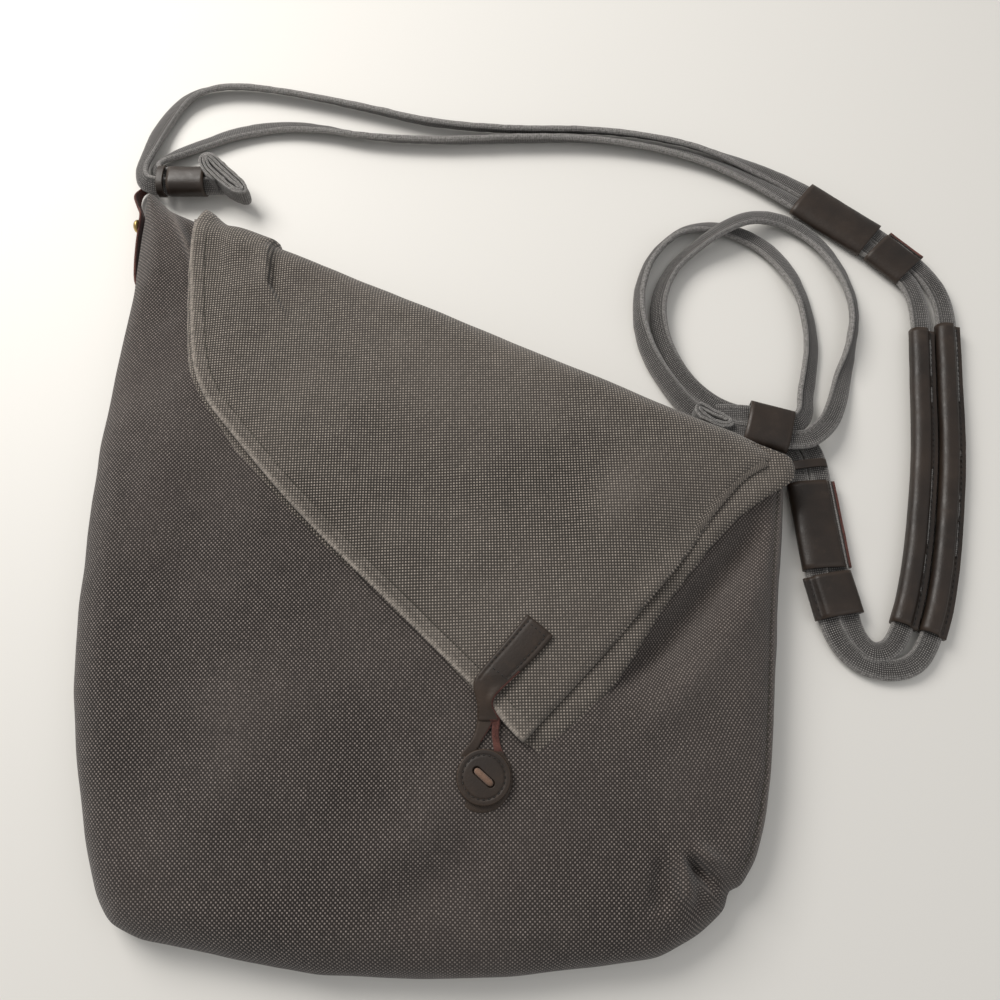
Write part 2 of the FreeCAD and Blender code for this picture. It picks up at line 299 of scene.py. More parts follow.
def setStudio():
    camera = bpy.data.objects.new("camera", bpy.data.cameras.new("camera"))
    camera.data.lens = studio["lens"]
    camera.data.sensor_width = 36
    camera.data.clip_start = 0.01
    camera.location = (studio["aside"], -studio["towardsViewer"], studio["height"])
    camera.rotation_euler = (math.radians(studio["tilt"]), 0, 0)
    bpy.context.scene.collection.objects.link(camera)
    bpy.context.scene.camera = camera

    for name, place, power, size, colour in [
            ("key", (-0.75, 0.80, 1.0), studio["keyPower"], 0.8, (1, 0.97, 0.93)),
            ("fill", (0.9, -0.5, 1.2), studio["fillPower"], 1.2, (0.95, 0.97, 1))]:
        lamp = bpy.data.lights.new(name, "AREA")
        lamp.energy, lamp.size, lamp.color = power, size, colour
        holder = bpy.data.objects.new(name, lamp)
        holder.location = place
        aim = np.array([0.05, 0.05, 0]) - np.array(place)
        holder.rotation_mode = "QUATERNION"
        holder.rotation_quaternion = Vector(aim).to_track_quat("-Z", "Y")
        bpy.context.scene.collection.objects.link(holder)

    bpy.context.scene.view_settings.view_transform = "Standard"
    world = bpy.data.worlds.new("studio")
    bpy.context.scene.world = world
    world.use_nodes = True
    world.node_tree.nodes["Background"].inputs["Color"].default_value = (1, 0.99, 0.975, 1)
    world.node_tree.nodes["Background"].inputs["Strength"].default_value = studio["worldStrength"]

    finish = bpy.data.materials.new("paleFloor")
    finish.use_nodes = True
    shader = finish.node_tree.nodes["Principled BSDF"]
    shader.inputs["Base Color"].default_value = studio["floorColour"]
    shader.inputs["Roughness"].default_value = 0.55
    half = 3.0
    floor = makePiece("floor", [(-half, -half, 0), (half, -half, 0), (half, half, 0), (-half, half, 0)],
                      [(0, 1, 2, 3)], finish)


setStudio()
print("studio ready")


# finishes
class Finish:
    # a material whose nodes are added one call at a time
    def __init__(self, name, roughness, sheen=0.0, coat=0.0, metallic=0.0, specular=0.5):
        self.material = bpy.data.materials.new(name)
        self.material.use_nodes = True
        self.nodes = self.material.node_tree.nodes
        self.links = self.material.node_tree.links
        self.shader = self.nodes["Principled BSDF"]
        self.shader.inputs["Roughness"].default_value = roughness
        self.shader.inputs["Sheen Weight"].default_value = sheen
        self.shader.inputs["Sheen Roughness"].default_value = 0.5
        self.shader.inputs["Coat Weight"].default_value = coat
        self.shader.inputs["Coat Roughness"].default_value = 0.35
        self.shader.inputs["Metallic"].default_value = metallic
        self.shader.inputs["Specular IOR Level"].default_value = specular

    def put(self, socket, value):
        if isinstance(value, bpy.types.NodeSocket):
            self.links.new(value, socket)
        else:
            socket.default_value = value

    def sum(self, operation, a, b=0.0, clamp=False):
        node = self.nodes.new("ShaderNodeMath")
        node.operation = operation
        node.use_clamp = clamp
        self.put(node.inputs[0], a)
        self.put(node.inputs[1], b)
        return node.outputs[0]

    def mapped(self, source, scale, turn=0.0):
        node = self.nodes.new("ShaderNodeMapping")
        node.inputs["Scale"].default_value = scale
        node.inputs["Rotation"].default_value = (0, 0, turn)
        self.links.new(source, node.inputs["Vector"])
        return node.outputs[0]

    def place(self):
        return self.nodes.new("ShaderNodeTexCoord").outputs["Object"]

    def clothPlace(self):
        node = self.nodes.new("ShaderNodeUVMap")
        node.uv_map = "cloth"
        return node.outputs[0]

    def attribute(self, name):
        node = self.nodes.new("ShaderNodeAttribute")
        node.attribute_name = name
        return node.outputs["Fac"]

    def split(self, vector):
        node = self.nodes.new("ShaderNodeSeparateXYZ")
        self.links.new(vector, node.inputs[0])
        return node.outputs[0], node.outputs[1], node.outputs[2]

    def noise(self, vector, scale, detail=2.0, roughness=0.55):
        node = self.nodes.new("ShaderNodeTexNoise")
        self.links.new(vector, node.inputs["Vector"])
        node.inputs["Scale"].default_value = scale
        node.inputs["Detail"].default_value = detail
        node.inputs["Roughness"].default_value = roughness
        return node.outputs["Fac"]

    def cells(self, vector, scale):
        node = self.nodes.new("ShaderNodeTexVoronoi")
        self.links.new(vector, node.inputs["Vector"])
        node.inputs["Scale"].default_value = scale
        return node.outputs["Distance"]

    def stretch(self, value, low, high, toLow=0.0, toHigh=1.0):
        node = self.nodes.new("ShaderNodeMapRange")
        self.links.new(value, node.inputs["Value"])
        for key, number in zip(("From Min", "From Max", "To Min", "To Max"), (low, high, toLow, toHigh)):
            node.inputs[key].default_value = number
        return node.outputs[0]

    def mix(self, share, a, b, blend="MIX"):
        node = self.nodes.new("ShaderNodeMix")
        node.data_type = "RGBA"
        node.blend_type = blend
        self.put(node.inputs[0], share)
        self.put(node.inputs[6], a if isinstance(a, bpy.types.NodeSocket) else (*a, 1))
        self.put(node.inputs[7], b if isinstance(b, bpy.types.NodeSocket) else (*b, 1))
        return node.outputs[2]

    def end(self, colour, height, strength, depth, roughness=None):
        self.links.new(colour, self.shader.inputs["Base Color"])
        bump = self.nodes.new("ShaderNodeBump")
        bump.inputs["Strength"].default_value = strength
        bump.inputs["Distance"].default_value = depth
        self.links.new(height, bump.inputs["Height"])
        self.links.new(bump.outputs[0], self.shader.inputs["Normal"])
        if roughness is not None:
            self.links.new(roughness, self.shader.inputs["Roughness"])
        return self.material


canvas = {"cell": 1.08 * mm, "bumpDepth": 0.35 * mm, "bump": 0.55}


def canvasFinish(name, dark, light, worn, turn=0.0, cell=canvas["cell"], dots=0.85):
    # plain weave: light warp floats over a darker weft, with heathered threads and faded patches
    f = Finish(name, 0.93, sheen=0.22, specular=0.2)
    threads = f.mapped(f.clothPlace(), (1 / cell, 1 / cell, 1), turn)
    u, v, _ = f.split(threads)
    crossing = f.sum("MULTIPLY", f.sum("SINE", f.sum("MULTIPLY", u, math.pi)),
                     f.sum("SINE", f.sum("MULTIPLY", v, math.pi)))
    floats = f.stretch(crossing, 0.12, 0.75)
    warpTone = f.noise(f.mapped(threads, (1.0, 0.12, 1)), 0.9, 1.0)
    weftTone = f.noise(f.mapped(threads, (0.12, 1.0, 1)), 0.9, 1.0)
    fleck = f.noise(threads, 0.55, 2.0, 0.7)
    lift = f.sum("MULTIPLY", floats, f.stretch(f.sum("ADD", warpTone, fleck), 0.75, 1.25, 0.45, 1.0))
    weave = f.mix(f.sum("MULTIPLY", lift, dots, True), dark, light)
    weave = f.mix(f.stretch(weftTone, 0.35, 0.7, 0, 0.28), weave, tuple(c * 0.55 for c in dark))
    faded = f.noise(f.place(), 9.0, 3.0, 0.6)
    weave = f.mix(f.stretch(faded, 0.35, 0.7, 0, 0.16), weave, worn)
    mauve = f.noise(f.place(), 17.0, 2.0)
    weave = f.mix(f.stretch(mauve, 0.5, 0.75, 0, 0.12), weave,
                  (dark[0] * 1.35, dark[1] * 1.02, dark[2] * 1.12))
    weave = f.mix(f.sum("MULTIPLY", f.attribute("wear"), f.stretch(fleck, 0.3, 0.65, 0.2, 1.0)), weave, worn)
    rise = f.sum("POWER", f.sum("ABSOLUTE", crossing), 0.6)
    rise = f.sum("ADD", rise, f.sum("MULTIPLY", fleck, 0.5))
    return f.end(weave, rise, canvas["bump"], canvas["bumpDepth"])


def leatherFinish(name, base, deep, worn, roughness=0.42, grain=420.0, coat=0.12):
    f = Finish(name, roughness, coat=coat, specular=0.45)
    where = f.place()
    cloud = f.noise(where, 38.0, 4.0, 0.6)
    skin = f.mix(f.stretch(cloud, 0.35, 0.65), deep, base)
    scuff = f.noise(where, 150.0, 4.0, 0.7)
    skin = f.mix(f.stretch(scuff, 0.56, 0.75, 0, 0.35), skin, worn)
    skin = f.mix(f.sum("MULTIPLY", f.attribute("wear"), 0.8), skin, worn)
    pores = f.cells(where, grain * 2)
    fine = f.noise(where, 900.0, 2.0)
    rise = f.sum("ADD", f.stretch(pores, 0.0, 0.6), f.sum("MULTIPLY", fine, 0.6))
    rise = f.sum("ADD", rise, f.sum("MULTIPLY", cloud, 1.2))
    sheen = f.stretch(scuff, 0.3, 0.75, roughness - 0.08, roughness + 0.14)
    return f.end(skin, rise, 0.35, 0.12 * mm, sheen)


def suedeFinish(name, base, deep, light):
    # the cut edge and the flesh side of leather
    f = Finish(name, 0.85, sheen=0.15, specular=0.25)
    where = f.place()
    fibre = f.noise(f.mapped(where, (1, 1, 2.2)), 700.0, 3.0, 0.65)
    cloud = f.noise(where, 90.0, 2.0)
    skin = f.mix(f.stretch(fibre, 0.35, 0.68), deep, base)
    skin = f.mix(f.stretch(cloud, 0.5, 0.8, 0, 0.5), skin, light)
    return f.end(skin, fibre, 0.6, 0.25 * mm)


def threadFinish(name, base, light):
    f = Finish(name, 0.75, sheen=0.2, specular=0.3)
    where = f.place()
    ply = f.noise(f.mapped(where, (1, 2, 1)), 1500.0, 1.0)
    tone = f.noise(where, 120.0, 1.0)
    skin = f.mix(f.stretch(ply, 0.35, 0.7), base, light)
    skin = f.mix(f.stretch(tone, 0.4, 0.7, 0, 0.4), skin, tuple(c * 0.6 for c in base))
    return f.end(skin, ply, 0.5, 0.1 * mm)


def brassFinish(name):
    f = Finish(name, 0.34, metallic=1.0)
    where = f.place()
    age = f.noise(where, 400.0, 4.0, 0.65)
    skin = f.mix(f.stretch(age, 0.4, 0.7), (0.55, 0.39, 0.16), (0.27, 0.19, 0.08))
    scratches = f.noise(f.mapped(where, (1, 6, 1)), 1300.0, 2.0)
    return f.end(skin, scratches, 0.2, 0.05 * mm, f.stretch(age, 0.3, 0.7, 0.25, 0.5))


bodyCloth = canvasFinish("bodyCanvas", (0.021, 0.0172, 0.0157), (0.40, 0.342, 0.310), (0.22, 0.19, 0.172))
flapCloth = canvasFinish("flapCanvas", (0.030, 0.0260, 0.0225), (0.62, 0.54, 0.465), (0.36, 0.32, 0.28),
                         turn=math.radians(-19))
strapCloth = canvasFinish("strapCanvas", (0.028, 0.0265, 0.026), (0.48, 0.455, 0.435), (0.42, 0.405, 0.39),
                          turn=math.radians(45), cell=0.8 * mm)
liningCloth = canvasFinish("liningCotton", (0.045, 0.042, 0.038), (0.10, 0.095, 0.088), (0.12, 0.11, 0.10),
                           cell=0.4 * mm)
darkLeather = leatherFinish("darkLeather", (0.028, 0.0175, 0.0115), (0.014, 0.0088, 0.006),
                            (0.052, 0.034, 0.0235),
                            roughness=0.46, coat=0.06)
tabLeather = leatherFinish("closureLeather", (0.028, 0.0165, 0.0095), (0.014, 0.0085, 0.0055),
                           (0.060, 0.038, 0.025),
                           roughness=0.56, coat=0.02)
rawEdge = suedeFinish("rawEdge", (0.125, 0.046, 0.037), (0.055, 0.021, 0.017), (0.21, 0.09, 0.07))
thong = threadFinish("waxedThong", (0.17, 0.10, 0.068), (0.27, 0.17, 0.12))
darkThread = threadFinish("darkThread", (0.012, 0.010, 0.009), (0.03, 0.026, 0.023))
hemThread = threadFinish("hemThread", (0.030, 0.028, 0.018), (0.075, 0.070, 0.050))
paleThread = threadFinish("paleThread", (0.10, 0.095, 0.09), (0.17, 0.165, 0.16))
brass = brassFinish("agedBrass")
print("finishes ready")


# stitches: short threads laid along a line by Geometry Nodes
def stitchTree():
    tree = bpy.data.node_groups.new("stitchRow", "GeometryNodeTree")
    tree.interface.new_socket("Line", in_out="INPUT", socket_type="NodeSocketGeometry")
    for name, kind in [("Stitch spacing", "NodeSocketFloat"), ("Stitch length", "NodeSocketFloat"),
                       ("Thread thickness", "NodeSocketFloat"), ("Unevenness", "NodeSocketFloat"),
                       ("Seed", "NodeSocketInt"), ("Thread", "NodeSocketMaterial")]:
        tree.interface.new_socket(name, in_out="INPUT", socket_type=kind)
    tree.interface.new_socket("Stitches", in_out="OUTPUT", socket_type="NodeSocketGeometry")
    add, link = tree.nodes.new, tree.links.new
    given, result = add("NodeGroupInput"), add("NodeGroupOutput")
    line = add("GeometryNodeMeshToCurve")
    link(given.outputs["Line"], line.inputs[0])
    spots = add("GeometryNodeCurveToPoints")
    spots.mode = "LENGTH"
    link(line.outputs[0], spots.inputs["Curve"])
    link(given.outputs["Stitch spacing"], spots.inputs["Length"])
    thread = add("GeometryNodeMeshUVSphere")
    thread.inputs["Segments"].default_value = 7
    thread.inputs["Rings"].default_value = 5
    thread.inputs["Radius"].default_value = 0.5
    size = add("ShaderNodeCombineXYZ")
    link(given.outputs["Thread thickness"], size.inputs[0])
    link(given.outputs["Thread thickness"], size.inputs[1])
    link(given.outputs["Stitch length"], size.inputs[2])
    shaped = add("GeometryNodeTransform")
    link(thread.outputs[0], shaped.inputs["Geometry"])
    link(size.outputs[0], shaped.inputs["Scale"])
    placed = add("GeometryNodeInstanceOnPoints")
    link(spots.outputs["Points"], placed.inputs["Points"])
    link(shaped.outputs[0], placed.inputs["Instance"])
    link(spots.outputs["Rotation"], placed.inputs["Rotation"])
    uneven = add("FunctionNodeRandomValue")
    uneven.data_type = "FLOAT"
    below = add("ShaderNodeMath")
    below.operation = "SUBTRACT"
    below.inputs[0].default_value = 1.0
    link(given.outputs["Unevenness"], below.inputs[1])
    floats = [s for s in uneven.inputs if s.type == "VALUE"]
    link(below.outputs[0], floats[0])
    floats[1].default_value = 1.0
    link(given.outputs["Seed"], uneven.inputs["Seed"])
    link([s for s in uneven.outputs if s.type == "VALUE"][0], placed.inputs["Scale"])
    real = add("GeometryNodeRealizeInstances")
    link(placed.outputs[0], real.inputs[0])
    dressed = add("GeometryNodeSetMaterial")
    link(real.outputs[0], dressed.inputs["Geometry"])
    link(given.outputs["Thread"], dressed.inputs["Material"])
    link(dressed.outputs[0], result.inputs[0])
    return tree


stitchNodes = stitchTree()


def stitchPiece(name, lines, material, spacing, length, thickness, unevenness=0.15, seed=3):
    points, edges = [], []
    for line in lines:
        start = len(points)
        points += [tuple(p) for p in line]
        edges += [(start + i, start + i + 1) for i in range(len(line) - 1)]
    mesh = bpy.data.meshes.new(name)
    mesh.from_pydata(points, edges, [])
    piece = bpy.data.objects.new(name, mesh)
    bpy.context.scene.collection.objects.link(piece)
    layer = piece.modifiers.new("stitches", "NODES")
    layer.node_group = stitchNodes
    sockets = {item.name: item.identifier for item in stitchNodes.interface.items_tree
               if item.item_type == "SOCKET" and item.in_out == "INPUT"}
    for key, value in [("Stitch spacing", spacing), ("Stitch length", length),
                       ("Thread thickness", thickness),
                       ("Unevenness", unevenness), ("Seed", seed), ("Thread", material)]:
        layer[sockets[key]] = value
    applied(piece)
    piece.data.shade_smooth()
    return piece


# the strap: two strands of folded, edge-stitched canvas
strap = {"width": 11.5 * mm, "thickness": 3.8 * mm, "step": 1.6 * mm, "stitchSpacing": 3.1 * mm,
         "stitchLength": 2.1 * mm, "lengthA": 1.496, "lengthB": 1.418,
         "tiltA": [(0, 58), (0.03, 55), (0.055, 30), (0.075, 8), (0.11, 48), (0.2, 62), (0.33, 50),
                   (0.372, 0),
                   (0.62, 0), (0.645, 22), (0.68, 0), (0.735, 0), (0.77, 40), (0.80, 72), (0.835, 66),
                   (0.865, 14), (0.885, 12), (0.91, 42), (0.94, 35), (0.965, 28), (0.985, 0), (1, 0)],
         "tiltB": [(0, 58), (0.03, 55), (0.055, 25), (0.09, 18), (0.14, 55), (0.22, 64), (0.33, 20),
                   (0.37, 0),
                   (0.60, 0), (0.625, 14), (0.66, 0), (0.71, 0), (0.745, 45), (0.78, 48), (0.81, 30),
                   (0.83, 14),
                   (0.845, 16), (0.875, 42), (0.91, 62), (0.935, 8), (0.965, -6), (0.982, 0), (1, 0)]}

routeA = [
    (-0.131, 0.2285, 0.0126), (-0.1505, 0.2285, 0.012), (-0.188, 0.2275, 0.012),
    (-0.1965, 0.24, 0.01), (-0.194, 0.261, 0.006), (-0.189, 0.285, 0.004), (-0.175, 0.31, 0.0032),
    (-0.146, 0.317, 0.0032), (-0.104, 0.31, 0.0032), (-0.055, 0.297, 0.0032), (-0.008, 0.283, 0.0032),
    (0.045, 0.2785, 0.0032), (0.1, 0.279, 0.0032), (0.15, 0.27, 0.0032), (0.188, 0.2545, 0.0044),
    (0.2218, 0.2349, 0.0053), (0.2705, 0.1951, 0.0053), (0.2933, 0.1713, 0.0053),
    (0.3025, 0.1525, 0.0052), (0.3028, 0.131, 0.0053), (0.2977, 0.0927, 0.0053),
    (0.2904, 0.0431, 0.0053), (0.2796, -0.005, 0.0053), (0.2697, -0.0382, 0.0053),
    (0.261, -0.059, 0.0052), (0.252, -0.072, 0.0038), (0.237, -0.0755, 0.0032),
    (0.222, -0.071, 0.0036), (0.2115, -0.059, 0.0046), (0.2075, -0.04, 0.0053),
    (0.205, -0.012, 0.0053), (0.2028, 0.021, 0.0053), (0.2015, 0.044, 0.0051), (0.193, 0.057, 0.0032),
    (0.178, 0.0615, 0.0032), (0.16, 0.066, 0.0032), (0.144, 0.076, 0.0032), (0.132, 0.093, 0.0032),
    (0.122, 0.112, 0.0032), (0.117, 0.137, 0.0032), (0.12, 0.164, 0.0032), (0.133, 0.188, 0.0032),
    (0.152, 0.202, 0.0032), (0.174, 0.203, 0.0032), (0.196, 0.193, 0.0032), (0.211, 0.174, 0.0032),
    (0.219, 0.149, 0.0032), (0.2205, 0.12, 0.0032), (0.216, 0.098, 0.0034), (0.212, 0.084, 0.0048),
    (0.2095, 0.07, 0.0086), (0.2, 0.0615, 0.0126), (0.175, 0.07, 0.0126), (0.158, 0.0698, 0.011)]
routeB = [
    (-0.141, 0.2355, 0.0124), (-0.156, 0.2355, 0.012), (-0.183, 0.236, 0.012),
    (-0.188, 0.2465, 0.0085), (-0.181, 0.257, 0.0045), (-0.1645, 0.266, 0.0032),
    (-0.141, 0.2775, 0.0032), (-0.113, 0.2835, 0.0032), (-0.084, 0.281, 0.0032),
    (-0.052, 0.2725, 0.0032), (-0.008, 0.2695, 0.0032), (0.042, 0.2715, 0.0032),
    (0.096, 0.2718, 0.0032), (0.148, 0.2626, 0.0032), (0.1845, 0.2473, 0.0044),
    (0.2146, 0.226, 0.0053), (0.263, 0.1866, 0.0053), (0.2835, 0.1645, 0.0053), (0.288, 0.148, 0.0052),
    (0.287, 0.129, 0.0053), (0.2823, 0.095, 0.0053), (0.275, 0.046, 0.0053), (0.2645, -0.001, 0.0053),
    (0.255, -0.033, 0.0053), (0.2465, -0.054, 0.0052), (0.239, -0.065, 0.0038),
    (0.228, -0.066, 0.0036), (0.221, -0.056, 0.0046), (0.2185, -0.038, 0.0053),
    (0.2164, -0.01, 0.0053), (0.2144, 0.023, 0.0053), (0.2133, 0.046, 0.0051), (0.207, 0.06, 0.0032),
    (0.193, 0.0685, 0.0032), (0.175, 0.072, 0.0032), (0.16, 0.078, 0.0032), (0.146, 0.09, 0.0032),
    (0.135, 0.107, 0.0032), (0.129, 0.128, 0.0032), (0.13, 0.151, 0.0032), (0.14, 0.172, 0.0034),
    (0.155, 0.186, 0.0068), (0.17, 0.1955, 0.0126), (0.187, 0.2045, 0.0126), (0.203, 0.2085, 0.0068),
    (0.219, 0.2055, 0.0032), (0.234, 0.191, 0.0032), (0.2445, 0.169, 0.0032), (0.2495, 0.143, 0.0032),
    (0.243, 0.116, 0.0032), (0.2355, 0.096, 0.0036), (0.2295, 0.078, 0.0054), (0.22, 0.062, 0.01),
    (0.2035, 0.0505, 0.0126), (0.1715, 0.0596, 0.0126), (0.1575, 0.0604, 0.011)]

# half the strip's cross-section, from the folded edge to the stitched one: across, and up from the middle
stripShape = [(-1.0, 0.0), (-0.95, 0.52), (-0.8, 0.86), (-0.4, 0.92), (0.0, 0.86), (0.30, 0.84), (0.47, 0.62),
              (0.60, 0.94), (0.68, 0.60), (0.80, 0.98), (0.93, 0.72), (1.0, 0.0)]


def sweptFrames(line, tilt):
    tangent = unit(np.gradient(line, axis=0))
    side = unit(np.cross(tangent, (0, 0, 1)))
    face = np.cross(side, tangent)
    turn = np.radians(tilt)[:, None]
    return side * np.cos(turn) + face * np.sin(turn), face * np.cos(turn) - side * np.sin(turn)


def stripPiece(name, line, tilt, width, thickness, material):
    outline = stripShape + [(a, -b) for a, b in stripShape[-2:0:-1]]
    across = np.array([a for a, b in outline]) * width / 2
    up = np.array([b for a, b in outline]) * thickness / 2
    side, face = sweptFrames(line, tilt)
    points = line[:, None] + side[:, None] * across[None, :, None] + face[:, None] * up[None, :, None]
    rows, columns = points.shape[:2]
    flat = points.reshape(-1, 3)
    flat = flat + ripple(flat, 9 * mm, 5.3)[:, None] * 0.28 * mm * np.repeat(face, columns, axis=0)
    around = lengthsAlong(np.vstack([np.stack([across, up], 1), [[across[0], up[0]]]]))[:-1]
    uv = np.stack([np.repeat(lengthsAlong(line), columns), np.tile(around, rows)], 1)
    piece = makePiece(name, flat, tubeFaces(rows, columns), material, uv)
    edge = np.tile(np.clip(np.abs(across) / (width / 2) * 1.6 - 0.9, 0, 0.7), rows)
    setWeight(piece, "wear", edge)
    return piece


def strandPiece(name, route, tiltKeys):
    coarse = routeLine(name + "Line", route, 60)
    count = int(lengthsAlong(coarse)[-1] / strap["step"])
    line = routeLine(name + "Line", route, count)
    share = lengthsAlong(line) / lengthsAlong(line)[-1]
    tilt = np.interp(share, *zip(*tiltKeys))
    soft = np.ones(15) / 15
    tilt = np.convolve(np.pad(tilt, 7, mode="edge"), soft, "valid")
    turn = np.radians(tilt)
    rest = np.abs(np.sin(turn)) * strap["width"] / 2 + np.abs(np.cos(turn)) * strap["thickness"] / 2 + 0.2 * mm
    lifted = np.maximum(line[:, 2], rest)
    line[:, 2] = np.convolve(np.pad(lifted, 7, mode="edge"), soft, "valid")
    piece = stripPiece(name, line, tilt, strap["width"], strap["thickness"], strapCloth)
    side, face = sweptFrames(line, tilt)
    groove = 0.47 * strap["width"] / 2
    rows = [line + side * groove + face * k * strap["thickness"] / 2 * 0.68 for k in (1, -1)]
    threads = stitchPiece(name + "Stitches", rows, paleThread, strap["stitchSpacing"], strap["stitchLength"],
                          0.55 * mm, seed=11)
    return piece, threads, line


strandA, stitchesA, lineA = strandPiece("strapStrandA", routeA, strap["tiltA"])
strandB, stitchesB, lineB = strandPiece("strapStrandB", routeB, strap["tiltB"])
settle(strandA, "bag", ["strap_strand_a"])
settle(strandB, "bag", ["strap_strand_b"])
settle(stitchesA, "bag")
settle(stitchesB, "bag")
print("strap strands ready")


# leather sleeves on the strap
sleeves = {"wall": 1.6 * mm, "flange": 4.2 * mm, "height": 10.2 * mm, "endHeight": 14 * mm,
           "keeperWidth": 26.6 * mm, "padWidth": 14.2 * mm, "stitchSpacing": 3.4 * mm,
           "stitchLength": 2.4 * mm}
keeperWidth, padWidth = sleeves["keeperWidth"], sleeves["padWidth"]
# for each node: line, centre height, width and the side of its stitched seam
sleeveLines = {
    "upper_long_keeper": ([(0.226, 0.2241), (0.265, 0.1919)], 5.3 * mm, keeperWidth, 0),
    "upper_short_keeper": ([(0.2693, 0.1881), (0.2866, 0.1701)], 5.3 * mm, keeperWidth, -1),
    "lower_long_keeper": ([(0.2113, -0.0204), (0.2084, 0.0295)], 5.3 * mm, keeperWidth, 1),
    "lower_short_keeper": ([(0.2148, -0.0465), (0.2108, -0.0235)], 5.3 * mm, keeperWidth, -1),
    "left_end_keeper": ([(-0.175, 0.232), (-0.152, 0.232)], 12.0 * mm, 19 * mm, 0),
    "right_end_keeper": ([(0.198, 0.0575), (0.174, 0.0645)], 12.6 * mm, keeperWidth, 0),
    "inner_shoulder_sleeve": ([(0.2867, 0.127), (0.2823, 0.095), (0.275, 0.046), (0.2645, -0.001),
                               (0.255, -0.033), (0.2476, -0.0515)], 5.3 * mm, padWidth, -1),
    "outer_shoulder_sleeve": ([(0.3026, 0.13), (0.2977, 0.0927), (0.2904, 0.0431), (0.2796, -0.005),
                               (0.2697, -0.0382), (0.262, -0.0565)], 5.3 * mm, padWidth, -1)}


def sleeveShape(width, height, seam, inset):
    # closed outline, anticlockwise from the right; a seam pinches one side into a flat stitched flange
    t = np.linspace(0, 2 * math.pi, 57)[:-1]
    across = (width / 2 - inset) * np.sign(np.cos(t)) * np.abs(np.cos(t)) ** 0.72
    up = (height / 2 - inset) * np.sign(np.sin(t)) * np.abs(np.sin(t)) ** 0.9
    if seam:
        reach = across * seam
        start = width / 2 - sleeves["flange"]
        share = smoothstep(reach, start - 1.6 * mm, start + 1.2 * mm)
        low = (1.65 * mm if not inset else 0.25 * mm) * np.sign(up) * np.minimum(1, np.abs(up) / (1 * mm))
        up = up * (1 - share) + low * share
        if inset:
            across = np.where(reach > start, seam * (start + (reach - start) * 0.3), across)
    return across, up


def sleevePiece(name, line, centre, width, seam):
    flat = softLine(np.array(line), max(12, int(lengthsAlong(np.array(line))[-1] / (2.5 * mm))))
    line = np.column_stack([flat, np.full(len(flat), centre)])
    side, face = sweptFrames(line, np.zeros(len(line)))
    rings = []
    standing = centre > 8 * mm and width < 22 * mm      # round strands that stand on edge
    tall = sleeves["endHeight" if standing else "height"]
    across0, up0 = sleeveShape(width, tall, seam, 0.0)
    for inset in (0.0, sleeves["wall"]):
        across, up = sleeveShape(width, tall, seam, inset)
        ring = line[:, None] + side[:, None] * across[None, :, None] + face[:, None] * up[None, :, None]
        rings.append(ring)
    rows, columns = rings[0].shape[:2]
    outer = rings[0].reshape(-1, 3)
    away = np.repeat(face, columns, axis=0) * np.sign(np.tile(up0, rows))[:, None]
    outer = outer + away * ripple(outer, 14 * mm, 2.1)[:, None] * 0.3 * mm
    points = np.vstack([outer, rings[1].reshape(-1, 3)])
    total = rows * columns
    bore = gridFaces(rows, columns, closedColumns=True)
    outside = flipped(bore)
    inside = [tuple(i + total for i in face) for face in bore]
    faces = outside + inside
    for row, flip in ((0, False), (rows - 1, True)):
        for j in range(columns):
            a, b = row * columns + j, row * columns + (j + 1) % columns
            quad = (a, a + total, b + total, b)
            faces.append(quad if flip else quad[::-1])
    piece = makePiece(name, points, faces, [darkLeather, rawEdge])
    cut = width / 2 - (1.7 * mm if "lower_long" in name or "upper_short" in name else -1)
    for polygon in piece.data.polygons:
        if polygon.index >= len(outside) + len(inside):
            polygon.material_index = 0
        elif seam and polygon.index < len(outside):
            j = polygon.index % columns
            polygon.material_index = int(seam * (across0[j] + across0[(j + 1) % columns]) / 2 > cut)
    ends = np.zeros(len(points))
    for row in (0, rows - 1):
        ends[row * columns:(row + 1) * columns] = 0.8
    setWeight(piece, "wear", ends)
    threads = None
    if seam:
        inner = width / 2 - 2.4 * mm
        seams = [(line + side * seam * inner + face * k * 1.75 * mm)[1:-1] for k in (1, -1)]
        threads = stitchPiece(name + "Stitches", seams, darkThread, sleeves["stitchSpacing"],
                              sleeves["stitchLength"], 0.6 * mm, seed=5)
    return piece, threads


strapPieces = {"A": [stitchesA], "B": [stitchesB]}
for node, (line, centre, width, seam) in sleeveLines.items():
    piece, threads = sleevePiece(node + "Leather", line, centre, width, seam)
    made = [settle(piece, node, [node])]
    if threads:
        made.append(settle(threads, node))
    strapPieces["B" if "inner" in node or "right" in node else "A"] += made
print("sleeves ready")


# rolled strap ends
roll = {"leftTurns": 2.75, "rightTurns": 2.0, "pitch": 2.35 * mm, "layer": 1.5 * mm, "tall": 11.5 * mm,
        "steps": 260}


